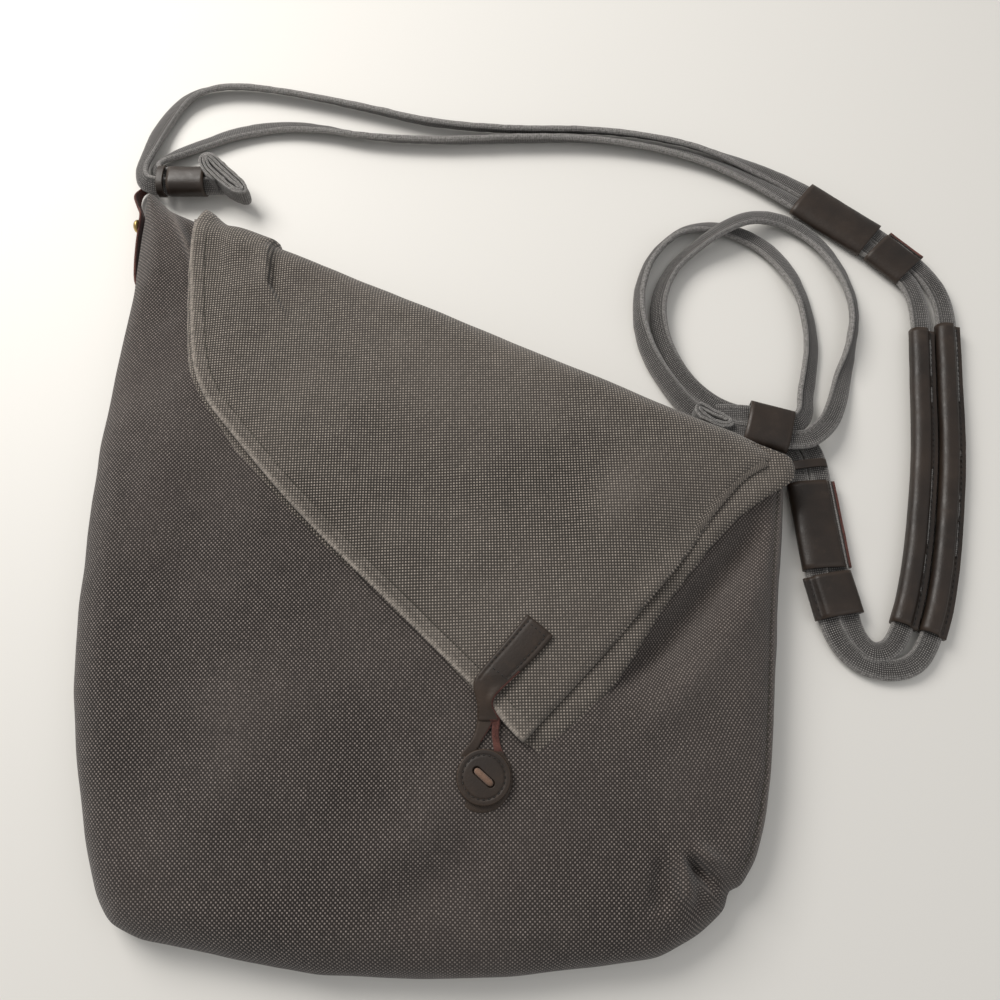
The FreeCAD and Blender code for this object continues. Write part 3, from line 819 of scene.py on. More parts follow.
def rollPiece(name, node, centre, angle, length, turns, height):
    turn = np.linspace(0, turns * 2 * math.pi, roll["steps"])
    out = roll["pitch"] * turn / (2 * math.pi)
    half = length / 2 - roll["pitch"] * turns
    bow = np.cos(turn)
    across = np.sign(bow) * np.abs(bow) ** 0.5 * (half + out * 0.8)
    up = np.sin(turn) * (0.35 * mm + out) + 1.5 * mm * (across / (length / 2)) ** 2
    c, s = math.cos(angle), math.sin(angle)
    plan = np.stack([centre[0] + across * c - up * s, centre[1] + across * s + up * c], 1)
    normal = np.gradient(plan, axis=0)
    normal = unit(np.stack([normal[:, 1], -normal[:, 0]], 1))
    high = roll["tall"] / 2
    section = [(-1, -1), (1, -1), (1.12, -0.4), (1.0, 0.55), (1.08, 0.9), (0.75, 1.0), (0.0, 0.93),
               (-0.75, 1.0),
               (-1.08, 0.9), (-1.0, 0.55), (-1.12, -0.4)]
    rings = []
    for a, b in section:
        flat = plan + normal * a * roll["layer"] / 2
        lift = b * high + height + 0.5 * mm * np.sin(turn * 2.3) + (flat[:, 0] - centre[0]) * -0.12
        rings.append(np.column_stack([flat, lift]))
    points = np.stack(rings, 1)
    rows, columns = points.shape[:2]
    flat = points.reshape(-1, 3)
    flat = flat + ripple(flat, 4 * mm, 8.8)[:, None] * 0.25 * mm
    around = lengthsAlong(np.array(section + section[:1], float) * np.array([roll["layer"] / 2, high]))[:-1]
    uv = np.stack([np.repeat(lengthsAlong(plan), columns), np.tile(around, rows)], 1)
    piece = makePiece(name, flat, flipped(tubeFaces(rows, columns)), strapCloth, uv)
    pale = np.tile([1.0 if b > 0.85 and abs(a) > 0.5 else 0.15 for a, b in section], rows)
    setWeight(piece, "wear", pale)
    return settle(piece, "bag", [node])


leftStop = rollPiece("leftRolledEnd", "left_stopper", (-0.1395, 0.2309), math.radians(-43), 42 * mm,
                     roll["leftTurns"], 15 * mm)
low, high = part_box("right_stopper")
rightStop = rollPiece("rightRolledEnd", "right_stopper", ((low.x + high.x) / 2, (low.y + high.y) / 2),
                      math.radians(-25), 25 * mm, roll["rightTurns"], 12 * mm)
print("strap ready")


# shape of the flap's two cloths, measured along the fold and out from it
flap = {"columns": 226, "wrapRows": 26, "rows": 150, "thickness": 2.2 * mm, "hemBand": 7.3 * mm,
        "hemRise": 0.55 * mm,
        "top": 34.6 * mm, "hemTop": 32.2 * mm, "stitchSpacing": 2.15 * mm, "underRows": 110,
        "underColumns": 180,
        "underThickness": 1.9 * mm, "underTop": 28.7 * mm}
outerHem = [(-199, -2), (-181, -36), (-153, -81), (-133, -103), (-107, -117.5), (-48, -143.5), (23.5, -168.5),
            (76.6, -187), (94, -195), (105, -199.5)]
outerEdge = [(175, 0), (170, -6), (161.5, -13.5), (153.5, -27), (149.5, -45), (143, -78), (127.7, -132.6),
             (116.5, -167), (105, -199.5)]
underHem = [(-199, -8), (-184, -38), (-156, -84), (-136, -107.5), (-108, -122.5), (-49.5, -148.5),
            (22.3, -170.8),
            (75.8, -189.2), (93, -196), (115.6, -203.3)]
underEdge = [(176, -4), (179.5, -10), (178.5, -18), (168, -34), (157, -57), (143.5, -106), (134, -158),
             (115.6, -203.3)]


def patchPlan(hem, edge, rows, columns, start):
    # a grid of cloth: rows run from the fold, out by start, to the hem, and the last column is the free edge
    hemLine = softLine(np.array(hem) * mm, columns)
    edgeLine = softLine(np.array(edge) * mm, rows)
    share = np.linspace(0, 1, columns)[None, :, None]
    down = (np.linspace(0, 1, rows) ** 1.25)[:, None, None]
    first = np.stack([np.linspace(hem[0][0], edge[0][0], columns) * mm, np.full(columns, start)], 1)[None]
    ruled = first * (1 - down) + hemLine[None] * down
    straight = ruled[:, -1:]
    even = np.linspace(0, 1, rows)
    wanted = np.stack([np.interp(down[:, 0, 0], even, edgeLine[:, k]) for k in (0, 1)], 1)[:, None]
    return ruled + (wanted - straight) * share ** 3


def flapLine(hem, edge):
    # the cloth's free edge in the frame, from the fold's left end round the tip to its right end
    points = np.vstack([softLine(np.array(hem) * mm, 400), softLine(np.array(edge) * mm, 200)[::-1][1:]])
    return foldPoints(points[:, 0], points[:, 1], 0.0)[:, :2]


outerLine = flapLine(outerHem, outerEdge)
outerHemLine = flapLine(outerHem, outerHem[-1:] * 2)
underHemLine = flapLine(underHem, underHem[-1:] * 2)
underLine = flapLine(underHem, underEdge)


# the bag's body: one soft shell with its mouth, seams, folds and tucked corner
body = {"around": 620, "rings": 92, "widest": 8 * mm, "rise": 17.5 * mm, "shoulder": 22 * mm,
        "crown": 3.0 * mm,
        "underRadius": 7 * mm, "foldInset": 4.5 * mm, "floorGap": 0.3 * mm, "cloth": 1.2 * mm}
# path in mm, width, height
bodyFolds = [
    ([(188, -24), (158, -50), (124, -86), (88, -120)], 12, 4.2),
    ([(202, 20), (172, -4), (149, -30), (118, -64), (78, -102)], 9, -12),
    ([(176, -62), (150, -88), (120, -108)], 16, 1.6),
    ([(20, -137), (-12, -162), (-46, -184)], 14, 2.6),
    ([(34, -140), (8, -172), (-20, -196)], 13, -2.4),
    ([(-160, 120), (-150, 60), (-158, 0), (-150, -60)], 24, 2.4),
    ([(-130, 60), (-122, 0), (-134, -70)], 20, -2.2),
    ([(-100, -60), (-96, -120), (-112, -180)], 22, 2.2),
    ([(-182, 150), (-168, 130), (-150, 116)], 9, -2.2),
    ([(-179, 200), (-174, 165), (-168, 136)], 8, 2.4),
    ([(-170, 214), (-162, 205), (-154, 190), (-146, 170)], 3.4, -5.5),
    ([(-186, 60), (-172, 40), (-160, 8)], 11, -1.2),
    ([(60, -120), (90, -150), (112, -164)], 14, -2.6),
    ([(-20, -120), (30, -160), (60, -196)], 20, 1.1),
    ([(165, -110), (150, -135), (138, -150)], 11, -1.8),
    ([(110, -158), (109, -178), (103, -194)], 5.5, -4.5),
    ([(118, -161), (128, -171.5), (147, -188)], 3.0, -11.5),
    ([(120, -156), (133, -167), (150, -181)], 4.2, 7.0),
    ([(117, -160), (118.5, -173), (122, -190)], 4.0, 7.0),
    ([(128, -152), (142, -150), (156, -158)], 8, -1.6)]
mouthHem = [(-177.5, 215.5), (-171, 207), (-162.5, 193), (-152, 173), (-140, 147), (-130, 126)]


def bodyGrid(edge, middle):
    # rings from the back's middle round the sides to the front's middle, and how far up each one is
    out = edge - middle
    far = np.linalg.norm(out, axis=1)
    ring = unit(out)
    under, widest, gap = body["underRadius"], body["widest"], body["floorGap"]
    inward = under * np.cos(np.linspace(0.12, math.pi / 2, 8))
    rings = [middle + out * share for share in (0.02, 0.35, 0.7)]
    heights = [np.full(len(far), gap)] * 3
    for step in inward:
        rings.append(middle + ring * (far - step)[:, None])
        heights.append(np.full(len(far), widest - (widest - gap) * math.sqrt(max(0.0, 1 - (1 - step / under) ** 2))))
    closed = np.vstack([edge, edge[:1]])
    walls = [body["shoulder"] * (1 - math.cos(angle)) for angle in np.linspace(0.1, math.pi / 2, 18)]
    plans = [middle + ring * (far - step)[:, None] for step in walls]
    plans += [middle + ring * ((far - body["shoulder"]) * (1 - share))[:, None]
              for share in np.linspace(0, 0.985, body["rings"])[1:]]
    lifts = [np.zeros(len(far))] * len(rings)
    for plan in plans:
        d, _ = distanceToLine(plan, closed)
        share = np.clip(d / body["shoulder"], 0, 1)
        rings.append(plan)
        heights.append(widest + body["rise"] * np.sqrt(1 - (1 - share) ** 2))
        lifts.append(share)
    grid = np.concatenate([np.array(rings), np.array(heights)[..., None]], -1)
    return grid, np.array(lifts), closed


corners = cornersOf("back_panel", "low")
outline = evenly(np.vstack([corners, corners[:1]]), body["around"] + 1)[:-1]
for _ in range(5):      # round the outline's corners
    outline = (np.roll(outline, 1, axis=0) + 2 * outline + np.roll(outline, -1, axis=0)) / 4
middle = np.array([0.0, 0.005])
place = foldPlane(outline)
atFold = smoothstep(place[:, 1], -12 * mm, -3 * mm) * smoothstep(place[:, 0], -206 * mm,
                                                                 -194 * mm) * smoothstep(
    -place[:, 0], -180 * mm, -162 * mm)
outline = outline - unit(outline - middle) * (atFold * body["foldInset"])[:, None]
# the soft peak beside the left tab, and the tucked corner's notch
peak = np.linalg.norm(outline - np.array([-0.183, 0.211]), axis=1)
outline = outline + np.array([-0.22, 0.97]) * (9.0 * mm * np.exp(-(peak / (8 * mm)) ** 2))[:, None]
notch = np.linalg.norm(outline - np.array([0.1425, -0.181]), axis=1)
outline = outline - unit(outline - middle) * (4.0 * mm * np.exp(-(notch / (4.5 * mm)) ** 2))[:, None]
shell, lift, bodyEdge = bodyGrid(outline, middle)
rows, columns = shell.shape[:2]
flat = shell.reshape(-1, 3)
plan = flat * np.array([1, 1, 0])
share = lift.reshape(-1)

# how far each point is from under the flap
d, _ = distanceToLine(plan[:, :2], outerLine)
bare = smoothstep(np.where(insideLine(plan[:, :2], outerLine), -d, d), -12 * mm, 5 * mm)
relief = ripple(plan, 75 * mm, 1.7) * 1.8 * mm + ripple(plan, 28 * mm, 4.1) * 0.5 * mm
relief += ripple(plan, 9 * mm, 7.7) * 0.10 * mm
for path, width, height in bodyFolds:
    relief += crease(plan, [(x, y, 0) for x, y in path], width, height)
edgeDistance, _ = distanceToLine(plan[:, :2], bodyEdge)
relief += body["crown"] * smoothstep(edgeDistance, body["shoulder"] * 0.6, 90 * mm)
hemD, hemShare = distanceToLine(plan[:, :2], softLine(np.array(mouthHem) * mm, 60))
relief += 4.0 * mm * np.exp(-(hemD / (2.2 * mm)) ** 2) * smoothstep(1 - hemShare, 0, 0.1)
rightSide = smoothstep(plan[:, 0], 120 * mm, 150 * mm) * smoothstep(plan[:, 1], -178 * mm,
                                                                    -150 * mm) * smoothstep(
    -plan[:, 1], -60 * mm, -40 * mm)
seam = 0.9 * mm * np.exp(-((edgeDistance - 3.2 * mm) / (1.3 * mm)) ** 2) - 1.0 * mm * np.exp(
    -((edgeDistance - 6.2 * mm) / (1.6 * mm)) ** 2)
upper = share > 0
flat[:, 2] += relief * smoothstep(share, 0.2, 0.95) * bare + seam * rightSide * upper
away = unit(plan[:, :2] - middle)
wall = (1 - share) * (flat[:, 2] > 2 * mm) * (1 - smoothstep(foldPlane(plan)[:, 1], -30 * mm, -12 * mm))
flat[:, :2] += away * (ripple(flat * np.array([1, 1, 2.5]), 40 * mm, 9.9) * 0.9 * mm * wall)[:, None]
shell = flat.reshape(rows, columns, 3)
# the cloth's own coordinates run out from the front's middle along its surface
steps = np.linalg.norm(np.diff(shell, axis=0), axis=-1)[::-1]
reach = np.concatenate([np.zeros((1, columns)), np.cumsum(steps, axis=0)])[::-1]
bodyUV = middle + away.reshape(rows, columns, 2) * reach[..., None]
bodyUV[:4] = shell[:4, :, :2]

# the mouth along the fold, between the back and the front
mouth = (place[:, 0] > -188 * mm) & (place[:, 0] < 152 * mm) & (place[:, 1] > -20 * mm)
wallRow = (shell[:, mouth, 2].mean(1) > 2.2 * mm) & (shell[:, mouth, 2].mean(1) < 24.2 * mm) & (
    np.arange(rows) > 3)
normals = gridNormals(np.concatenate([shell, shell[:, :1]], 1))[:, :columns]
normals = normals * np.sign(normals[-10, :, 2].mean())


def openShell(outwards):
    # the shell's faces without the mouth's
    faces = []
    for face in tubeFaces(rows, columns):
        i = min(k // columns for k in face)
        ends = len(face) == columns
        if not ends and wallRow[i] and wallRow[i + 1] and all(mouth[k % columns] for k in face):
            continue
        faces.append(face)
    return faces if outwards else flipped(faces)


def mouthLoop():
    # the grid points round the mouth, in order
    rowRun = np.flatnonzero(wallRow)
    columnRun = np.flatnonzero(mouth)
    gap = np.flatnonzero(np.diff(columnRun) > 1)
    if len(gap):
        columnRun = np.concatenate([columnRun[gap[0] + 1:], columnRun[:gap[0] + 1]])
    first, last = rowRun[0], rowRun[-1]
    return ([first * columns + j for j in columnRun] + [i * columns + columnRun[-1] for i in rowRun[1:]]
            + [last * columns + j for j in columnRun[-2::-1]] + [i * columns + columnRun[0] for i in rowRun[-2:0:-1]])


outwards = bool(np.cross(shell[-10, 1] - shell[-10, 0], shell[-9, 0] - shell[-10, 0])[2] > 0)
inside = shell - normals * (body["cloth"] + 0.5 * mm)
loop = mouthLoop()
count = rows * columns
around = np.arange(len(loop))
rimFaces = [(loop[k], loop[after], count + after, count + k) for k, after in zip(around, np.roll(around, -1))]
flatUV = bodyUV.reshape(-1, 2)
bodyPiece = makePiece("bagBody", np.vstack([flat, inside.reshape(-1, 3)[loop]]),
                      openShell(outwards) + rimFaces, bodyCloth, np.vstack([flatUV, flatUV[loop] + 2 * mm]))
wear = 0.55 * np.exp(-((edgeDistance - 3 * mm) / (1.6 * mm)) ** 2) * rightSide * upper
wear += 0.5 * np.exp(-(hemD / (1.8 * mm)) ** 2) + 0.12 * smoothstep(relief, 2.5 * mm, 6 * mm)
wear = np.clip(wear, 0, 1)
setWeight(bodyPiece, "wear", np.concatenate([wear, wear[loop]]))
settle(bodyPiece, "bag", ["back_panel", "front_panel", "left_gusset", "right_gusset",
                                    "bottom_gusset"])

# the lining is the same shell inside the cloth, facing inwards
liningPiece = makePiece("bagLining", inside.reshape(-1, 3), openShell(not outwards), liningCloth, flatUV)
settle(liningPiece, "bag", ["lining_back", "lining_front"])
for node, finish in [("inner_pocket", liningCloth), ("button_backing", tabLeather)]:
    frame["nodes"][node].data.materials.clear()
    frame["nodes"][node].data.materials.append(finish)

# stitches beside the right seam
place = bodyEdge[:-1]
side = [k for k in range(len(place)) if place[k, 0] > 128 * mm and -172 * mm < place[k, 1] < 46 * mm]
line = place[side][np.argsort(place[side][:, 1])]
tangent = unit(np.gradient(line, axis=0))
line = line + np.stack([-tangent[:, 1], tangent[:, 0]], 1) * 5.6 * mm
top = flat[upper]
seamLine = np.column_stack([line, heightAt(line, top) + 0.1 * mm])
settle(stitchPiece("seamStitches", [seamLine], hemThread, 3.0 * mm, 2.1 * mm, 0.7 * mm), "bag")
print("body ready")


# the flap: an outer cloth from the back's edge round the fold to its hem, an under cloth and a folded side
flapFolds = [
    ([(-140, 200), (-134, 186), (-131, 160), (-120, 130)], 6, -1.6),
    ([(-126, 196), (-121, 176), (-118, 150)], 7, 1.4),
    ([(-152, 190), (-150, 165), (-150, 140)], 5, 1.2),
    ([(-120, 100), (-100, 40), (-60, -20)], 26, 1.4),
    ([(-60, 140), (-20, 90), (30, 40), (60, 0)], 30, 1.8),
    ([(60, 110), (90, 60), (100, 10), (90, -40)], 22, 1.6),
    ([(150, 60), (120, 30), (88, 0), (62, -30)], 14, 1.4),
    ([(166, 24), (140, 0), (112, -28)], 9, -1.5),
    ([(140, -18), (112, -40), (92, -60)], 6, 1.6),
    ([(-40, 60), (-10, 20), (30, -20)], 20, -1.3),
    ([(20, -20), (40, -40), (54, -52)], 12, -1.2),
    ([(-90, 150), (-60, 100), (-50, 60)], 18, -1.2)]


def dressFlap(grid, line, hem, hemTop, top):
    # lay a patch of flap cloth at its height, with its folds and its doubled hem; gives back the wear as well
    points = grid.reshape(-1, 2)
    place = foldPoints(points[:, 0], points[:, 1], 0.0)
    d, _ = distanceToLine(place[:, :2], line)
    toHem, _ = distanceToLine(place[:, :2], hem)
    wrap = np.sqrt(1 - (1 - np.clip((0.4 * mm - points[:, 1]) / (17 * mm), 0, 1)) ** 2)
    z = 17 * mm + (top - 17 * mm) * wrap - (top - hemTop) * (1 - smoothstep(d, 2 * mm, 26 * mm))
    relief = ripple(place, 60 * mm, 12.3) * 1.3 * mm + ripple(place, 22 * mm, 3.3) * 0.42 * mm
    relief += ripple(place, 8 * mm, 5.5) * 0.09 * mm
    for path, width, height in flapFolds:
        relief += crease(place, [(x, y, 0) for x, y in path], width, height)
    # the pleat's sharp step
    aside = place[:, 0] - np.interp(place[:, 1], [112 * mm, 140 * mm, 180 * mm],
                                    [-82 * mm, -98 * mm, -101 * mm])
    step = 0.5 - 0.5 * np.tanh(aside / (0.8 * mm))
    pleat = step * 3.0 * mm * np.exp(-(aside / (13 * mm)) ** 2) - (1 - step) * 2.4 * mm * np.exp(
        -(aside / (9 * mm)) ** 2)
    relief += pleat * smoothstep(place[:, 1], 108 * mm, 150 * mm)
    z = z + relief * wrap
    # the doubled hem, and the soft fold on the right side
    band = smoothstep(-toHem, -flap["hemBand"] - 0.6 * mm, -flap["hemBand"] + 0.8 * mm)
    z = z + flap["hemRise"] * band - 0.5 * mm * np.exp(-((toHem - flap["hemBand"]) / (0.7 * mm)) ** 2)
    soft = np.clip(1 - d / (5 * mm), 0, 1) * smoothstep(toHem, 3 * mm, 12 * mm)
    z = z - 1.5 * mm * soft ** 2
    place[:, 2] = z
    wear = 0.6 * np.exp(-(toHem / (1.2 * mm)) ** 2) + 0.12 * np.exp(-(d / (1.5 * mm)) ** 2)
    wear += 0.22 * band * (0.5 + 0.5 * ripple(place, 5 * mm, 8.8)) + 0.14 * smoothstep(relief, 1.2 * mm,
                                                                                       4 * mm)
    return place, np.clip(wear, 0, 1)


topPlan = patchPlan(outerHem, outerEdge, flap["rows"], flap["columns"], -0.05 * mm)
topPlace, topWear = dressFlap(topPlan, outerLine, outerHemLine, flap["hemTop"], flap["top"])
columns = flap["columns"]
# the wrap below the fold, from where the cloth is sewn to the back's edge
wrapLine = softLine(np.array([(-3.6, 2.7), (-1.6, 3.6), (-0.4, 8), (0, 15)]) * mm, flap["wrapRows"])
foldS = topPlan[0, :, 0]
wrapS, wrapN = np.meshgrid(foldS, wrapLine[:, 0])
wrapZ = np.repeat(wrapLine[:, 1][:, None], columns, 1)
wrapPlace = foldPoints(wrapS, wrapN, wrapZ)
wavy = ripple(wrapPlace.reshape(-1, 3), 45 * mm, 6.1).reshape(wrapS.shape) * 1.0 * mm
# the left end bows outwards; the pleat stands out of the fold and stops short
wavy += 6.5 * mm * smoothstep(-wrapS, 178 * mm, 200 * mm)
wavy += 3.0 * mm * smoothstep(wrapS, -196 * mm, -160 * mm) * smoothstep(-wrapS, 144 * mm, 147.5 * mm)
ease = smoothstep(wrapLine[:, 1], 2.7 * mm, 9 * mm)[:, None]
wrapPlace[..., :2] += (wavy * ease)[..., None] * foldOut[:2]
topGrid = topPlace.reshape(flap["rows"], columns, 3)
topGrid[..., :2] += (wavy[-1] * (1 - smoothstep(-topPlan[..., 1], 0, 14 * mm)))[..., None] * foldOut[:2]
outerGrid = np.concatenate([wrapPlace, topGrid])
arc = np.cumsum(np.linalg.norm(np.diff(outerGrid, axis=0, prepend=outerGrid[:1]), axis=-1), axis=0)
outerUV = np.stack([np.concatenate([wrapS, topPlan[..., 0]]),
                    np.concatenate([arc[:flap["wrapRows"]] - arc[flap["wrapRows"]], -topPlan[..., 1]])], -1)
outerWear = np.concatenate([np.full(wrapS.shape, 0.05), topWear.reshape(flap["rows"], columns)])
flip = gridNormals(outerGrid)[-20, columns // 2, 2] < 0
if flip:
    outerGrid, outerUV, outerWear = outerGrid[:, ::-1], outerUV[:, ::-1], outerWear[:, ::-1]
flapOuter = clothSheet("flapOuter", outerGrid, outerUV, flap["thickness"], flapCloth, outerWear)
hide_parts("flap_outer_panel", "flap_hem_band")
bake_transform(flapOuter)

# the under cloth
underSize = (flap["underRows"], flap["underColumns"])
underPlan = patchPlan(underHem, underEdge, *underSize, -7 * mm)
points = underPlan.reshape(-1, 2)
underPlace = foldPoints(points[:, 0], points[:, 1], 0.0)
underD, _ = distanceToLine(underPlace[:, :2], underLine)
underHemD, _ = distanceToLine(underPlace[:, :2], underHemLine)
underPlace[:, 2] = flap["underTop"] + ripple(underPlace, 50 * mm, 2.2) * 0.25 * mm + 0.3 * mm * smoothstep(
    -underHemD, -5 * mm, -4 * mm) - 1.6 * mm * np.clip(1 - underD / (5 * mm), 0, 1) ** 2
underWear = (0.5 * np.exp(-(underHemD / (1.2 * mm)) ** 2)).reshape(underSize)
underGrid = underPlace.reshape(*underSize, 3)
underUV = underPlan * np.array([1, -1])
if flip:
    underGrid, underUV, underWear = underGrid[:, ::-1], underUV[:, ::-1], underWear[:, ::-1]
flapUnder = clothSheet("flapUnder", underGrid, underUV, flap["underThickness"], flapCloth, underWear)
settle(flapUnder, "flap", ["flap_under_panel", "under_hem_band"])

# the folded gusset between the two cloths on their right side
sideColumns = 90
outerRun = evenly(softLine(np.array(outerEdge[2:-1]) * mm, sideColumns), sideColumns)
underRun = evenly(softLine(np.array(underEdge[2:-1]) * mm, sideColumns), sideColumns)
sideRows = []
# how far down the fold each row is, its height and its pull inwards in mm
for part, z, pull in ((0.0, 30.6, 4.0), (0.2, 30.4, 8.0), (0.4, 30.2, 12.5), (0.5, 30.0, 13.5),
                      (0.6, 29.9, 12.5),
                      (0.8, 29.8, 7.0), (1.0, 29.4, 5.0)):
    run = outerRun * (1 - part * 0.3) + underRun * part * 0.3
    tangent = unit(np.gradient(run, axis=0))
    inwards = np.stack([tangent[:, 1], -tangent[:, 0]], 1) * np.linspace(0.15, 1, sideColumns)[:, None] ** 0.5
    run = run + inwards * pull * mm * np.sign(-inwards[:, :1].mean())
    sideRows.append(foldPoints(run[:, 0], run[:, 1], z * mm))
sideGrid = np.array(sideRows)
sideUV = np.stack(np.meshgrid(lengthsAlong(outerRun), np.arange(7) * 6 * mm), -1)
sideFold = clothSheet("flapSideFold", sideGrid, sideUV, 0.8 * mm, flapCloth)
settle(sideFold, "flap", ["flap_side_gusset"])

# the hem's stitches
topPoints = topGrid.reshape(-1, 3)


def insetLine(hem, inset, first, last):
    line = softLine(np.array(hem) * mm, 500)
    tangent = unit(np.gradient(line, axis=0))
    inner = np.stack([-tangent[:, 1], tangent[:, 0]], 1)
    inner = inner * np.sign(inner[:, 1].mean())
    line = line + inner * inset
    place = foldPoints(line[:, 0], line[:, 1], 0.0)
    along = lengthsAlong(place)
    keep = (along > first) & (along < along[-1] - last)
    place = evenly(place[keep], 420)
    place[:, 2] = heightAt(place, topPoints) + 0.12 * mm
    return place


hemStitches = stitchPiece("hemStitches", [insetLine(outerHem, flap["hemBand"], 22 * mm, 14 * mm)], hemThread,
                          flap["stitchSpacing"], 1.5 * mm, 0.62 * mm)
settle(hemStitches, "flap")
print("flap ready")


# the closure: a leather strap stitched to the flap, its looped end, and the button
closure = {"leather": 2.0 * mm, "stitchSpacing": 2.6 * mm, "stitchLength": 1.7 * mm,
           "buttonRadius": 12.9 * mm,
           "stitchRing": 10.1 * mm, "slotLength": 12.8 * mm, "slotWidth": 4.0 * mm,
           "slotTurn": math.radians(-41)}
strapLeft = [(47.7, -53.0), (38.0, -65.0), (28.2, -76.4), (22.6, -84.0), (22.0, -88.5), (23.3, -94.0),
             (24.0, -99.0),
             (24.0, -102.5)]
strapRight = [(59.2, -62.9), (49.6, -73.6), (38.8, -83.9), (33.2, -89.2), (30.4, -93.0), (30.0, -96.5),
              (31.6, -99.6),
              (32.8, -102.5)]
loopOuter = [(23.9, -98.5), (23.8, -104.0), (21.2, -111.5), (15.2, -119.0), (11.8, -127.0), (13.0, -136.6),
             (18.6, -142.4), (26.5, -144.0), (34.0, -141.0), (38.9, -133.0), (38.6, -123.5), (34.6, -116.2),
             (33.0, -109.6), (33.3, -103.0), (32.9, -98.9)]
loopInner = [(30.6, -98.5), (29.2, -105.0), (24.9, -112.2), (21.8, -119.0), (20.2, -126.0), (20.8, -132.0),
             (23.6, -135.2), (27.0, -136.0), (30.6, -134.4), (32.8, -130.4), (32.9, -124.0), (31.6, -116.2),
             (30.6, -110.0), (30.9, -104.0), (31.0, -98.9)]
patchTop = heightAt(np.array([(43, -66), (36, -76)]) * mm, topPoints).max()


def strapHeight(y):
    # from the flap's top, over its hem and down to the front of the bag
    return np.interp(y, [-106 * mm, -101 * mm, -95 * mm, -89 * mm, -82 * mm, -60 * mm],
                     [30.9 * mm, 31.6 * mm, 33.2 * mm, 34.8 * mm, patchTop + 1.6 * mm, patchTop + 1.7 * mm])


def betweenLines(left, right, rows, columns):
    a, b = softLine(np.array(left) * mm, rows), softLine(np.array(right) * mm, rows)
    share = np.linspace(0, 1, columns)[None, :, None]
    return a[:, None] * (1 - share) + b[:, None] * share


def leatherStrip(name, grid, height, weights=None):
    rows, columns = grid.shape[:2]
    place = np.concatenate([grid, height[..., None]], -1)
    uv = grid.copy()
    if gridNormals(place)[rows // 2, columns // 2, 2] < 0:
        place, uv = place[:, ::-1], uv[:, ::-1]
        weights = None if weights is None else weights[:, ::-1]
    return clothSheet(name, place, uv, closure["leather"], tabLeather, weights, rawEdge)


def redWhere(piece, rim, face):
    # the raw red leather shows only in places: on the rim, and on the faces of the split ends
    for polygon in piece.data.polygons:
        x, y = polygon.center.x / mm, polygon.center.y / mm
        polygon.material_index = int(rim(x, y) if polygon.material_index else face(x, y))


strapGrid = betweenLines(strapLeft, strapRight, 90, 26)
across = np.linspace(-1, 1, 26)
crown = 0.45 * mm * (1 - across ** 2)
z = strapHeight(strapGrid[..., 1]) + crown
bend = np.exp(-((strapGrid[..., 1] + 93 * mm) / (5.5 * mm)) ** 2)
z = z + bend * smoothstep(across, 0.1, 1.0) * 1.5 * mm
z = z - 0.35 * mm * np.exp(-((np.abs(across) - 0.78) / 0.09) ** 2) * (strapGrid[..., 1] > -84 * mm)
closureStrap = leatherStrip("closureStrap", strapGrid, z, 0.15 + 0.5 * bend)
redWhere(closureStrap, lambda x, y: y < -80 and x > 29, lambda x, y: False)
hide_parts("closure_patch", "closure_tab")
lift = next(j for j in frame["joints"] if j["name"] == "closure_tab_lift")
liftPlace, liftAxis = np.array(lift["pos_m"]), np.array(lift["axis"])
towards = np.array([-liftAxis[1], liftAxis[0], 0.0])
towards = towards * np.sign(-towards[1])
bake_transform(closureStrap)

loopGrid = betweenLines(loopOuter, loopInner, 150, 9)
loopZ = np.interp(loopGrid[..., 1], [-120 * mm, -112 * mm, -104 * mm, -98 * mm],
                  [29.2 * mm, 30.2 * mm, 30.8 * mm, 31.5 * mm])
closureLoop = leatherStrip("closureLoop", loopGrid, loopZ, np.full(loopZ.shape, 0.45))
redWhere(closureLoop, lambda x, y: y > -118 and x > 25, lambda x, y: x > 29.5 and y > -117)
settle(closureLoop, "closure_tab")

corners = np.array([(47.7, -55.6), (56.2, -63.2), (37.2, -83.8), (28.6, -77.0), (47.7, -55.6)]) * mm
outlineRun = np.vstack([evenly(np.array([a, b]), 14) for a, b in zip(corners, corners[1:])])
patchPoints = np.concatenate([strapGrid, z[..., None]], -1).reshape(-1, 3)
patchStitch = np.column_stack([outlineRun, heightAt(outlineRun, patchPoints) + 0.05 * mm])
patchStitches = stitchPiece("patchStitches", [patchStitch], darkThread, closure["stitchSpacing"],
                            closure["stitchLength"], 0.6 * mm, seed=7)
settle(patchStitches, "flap")

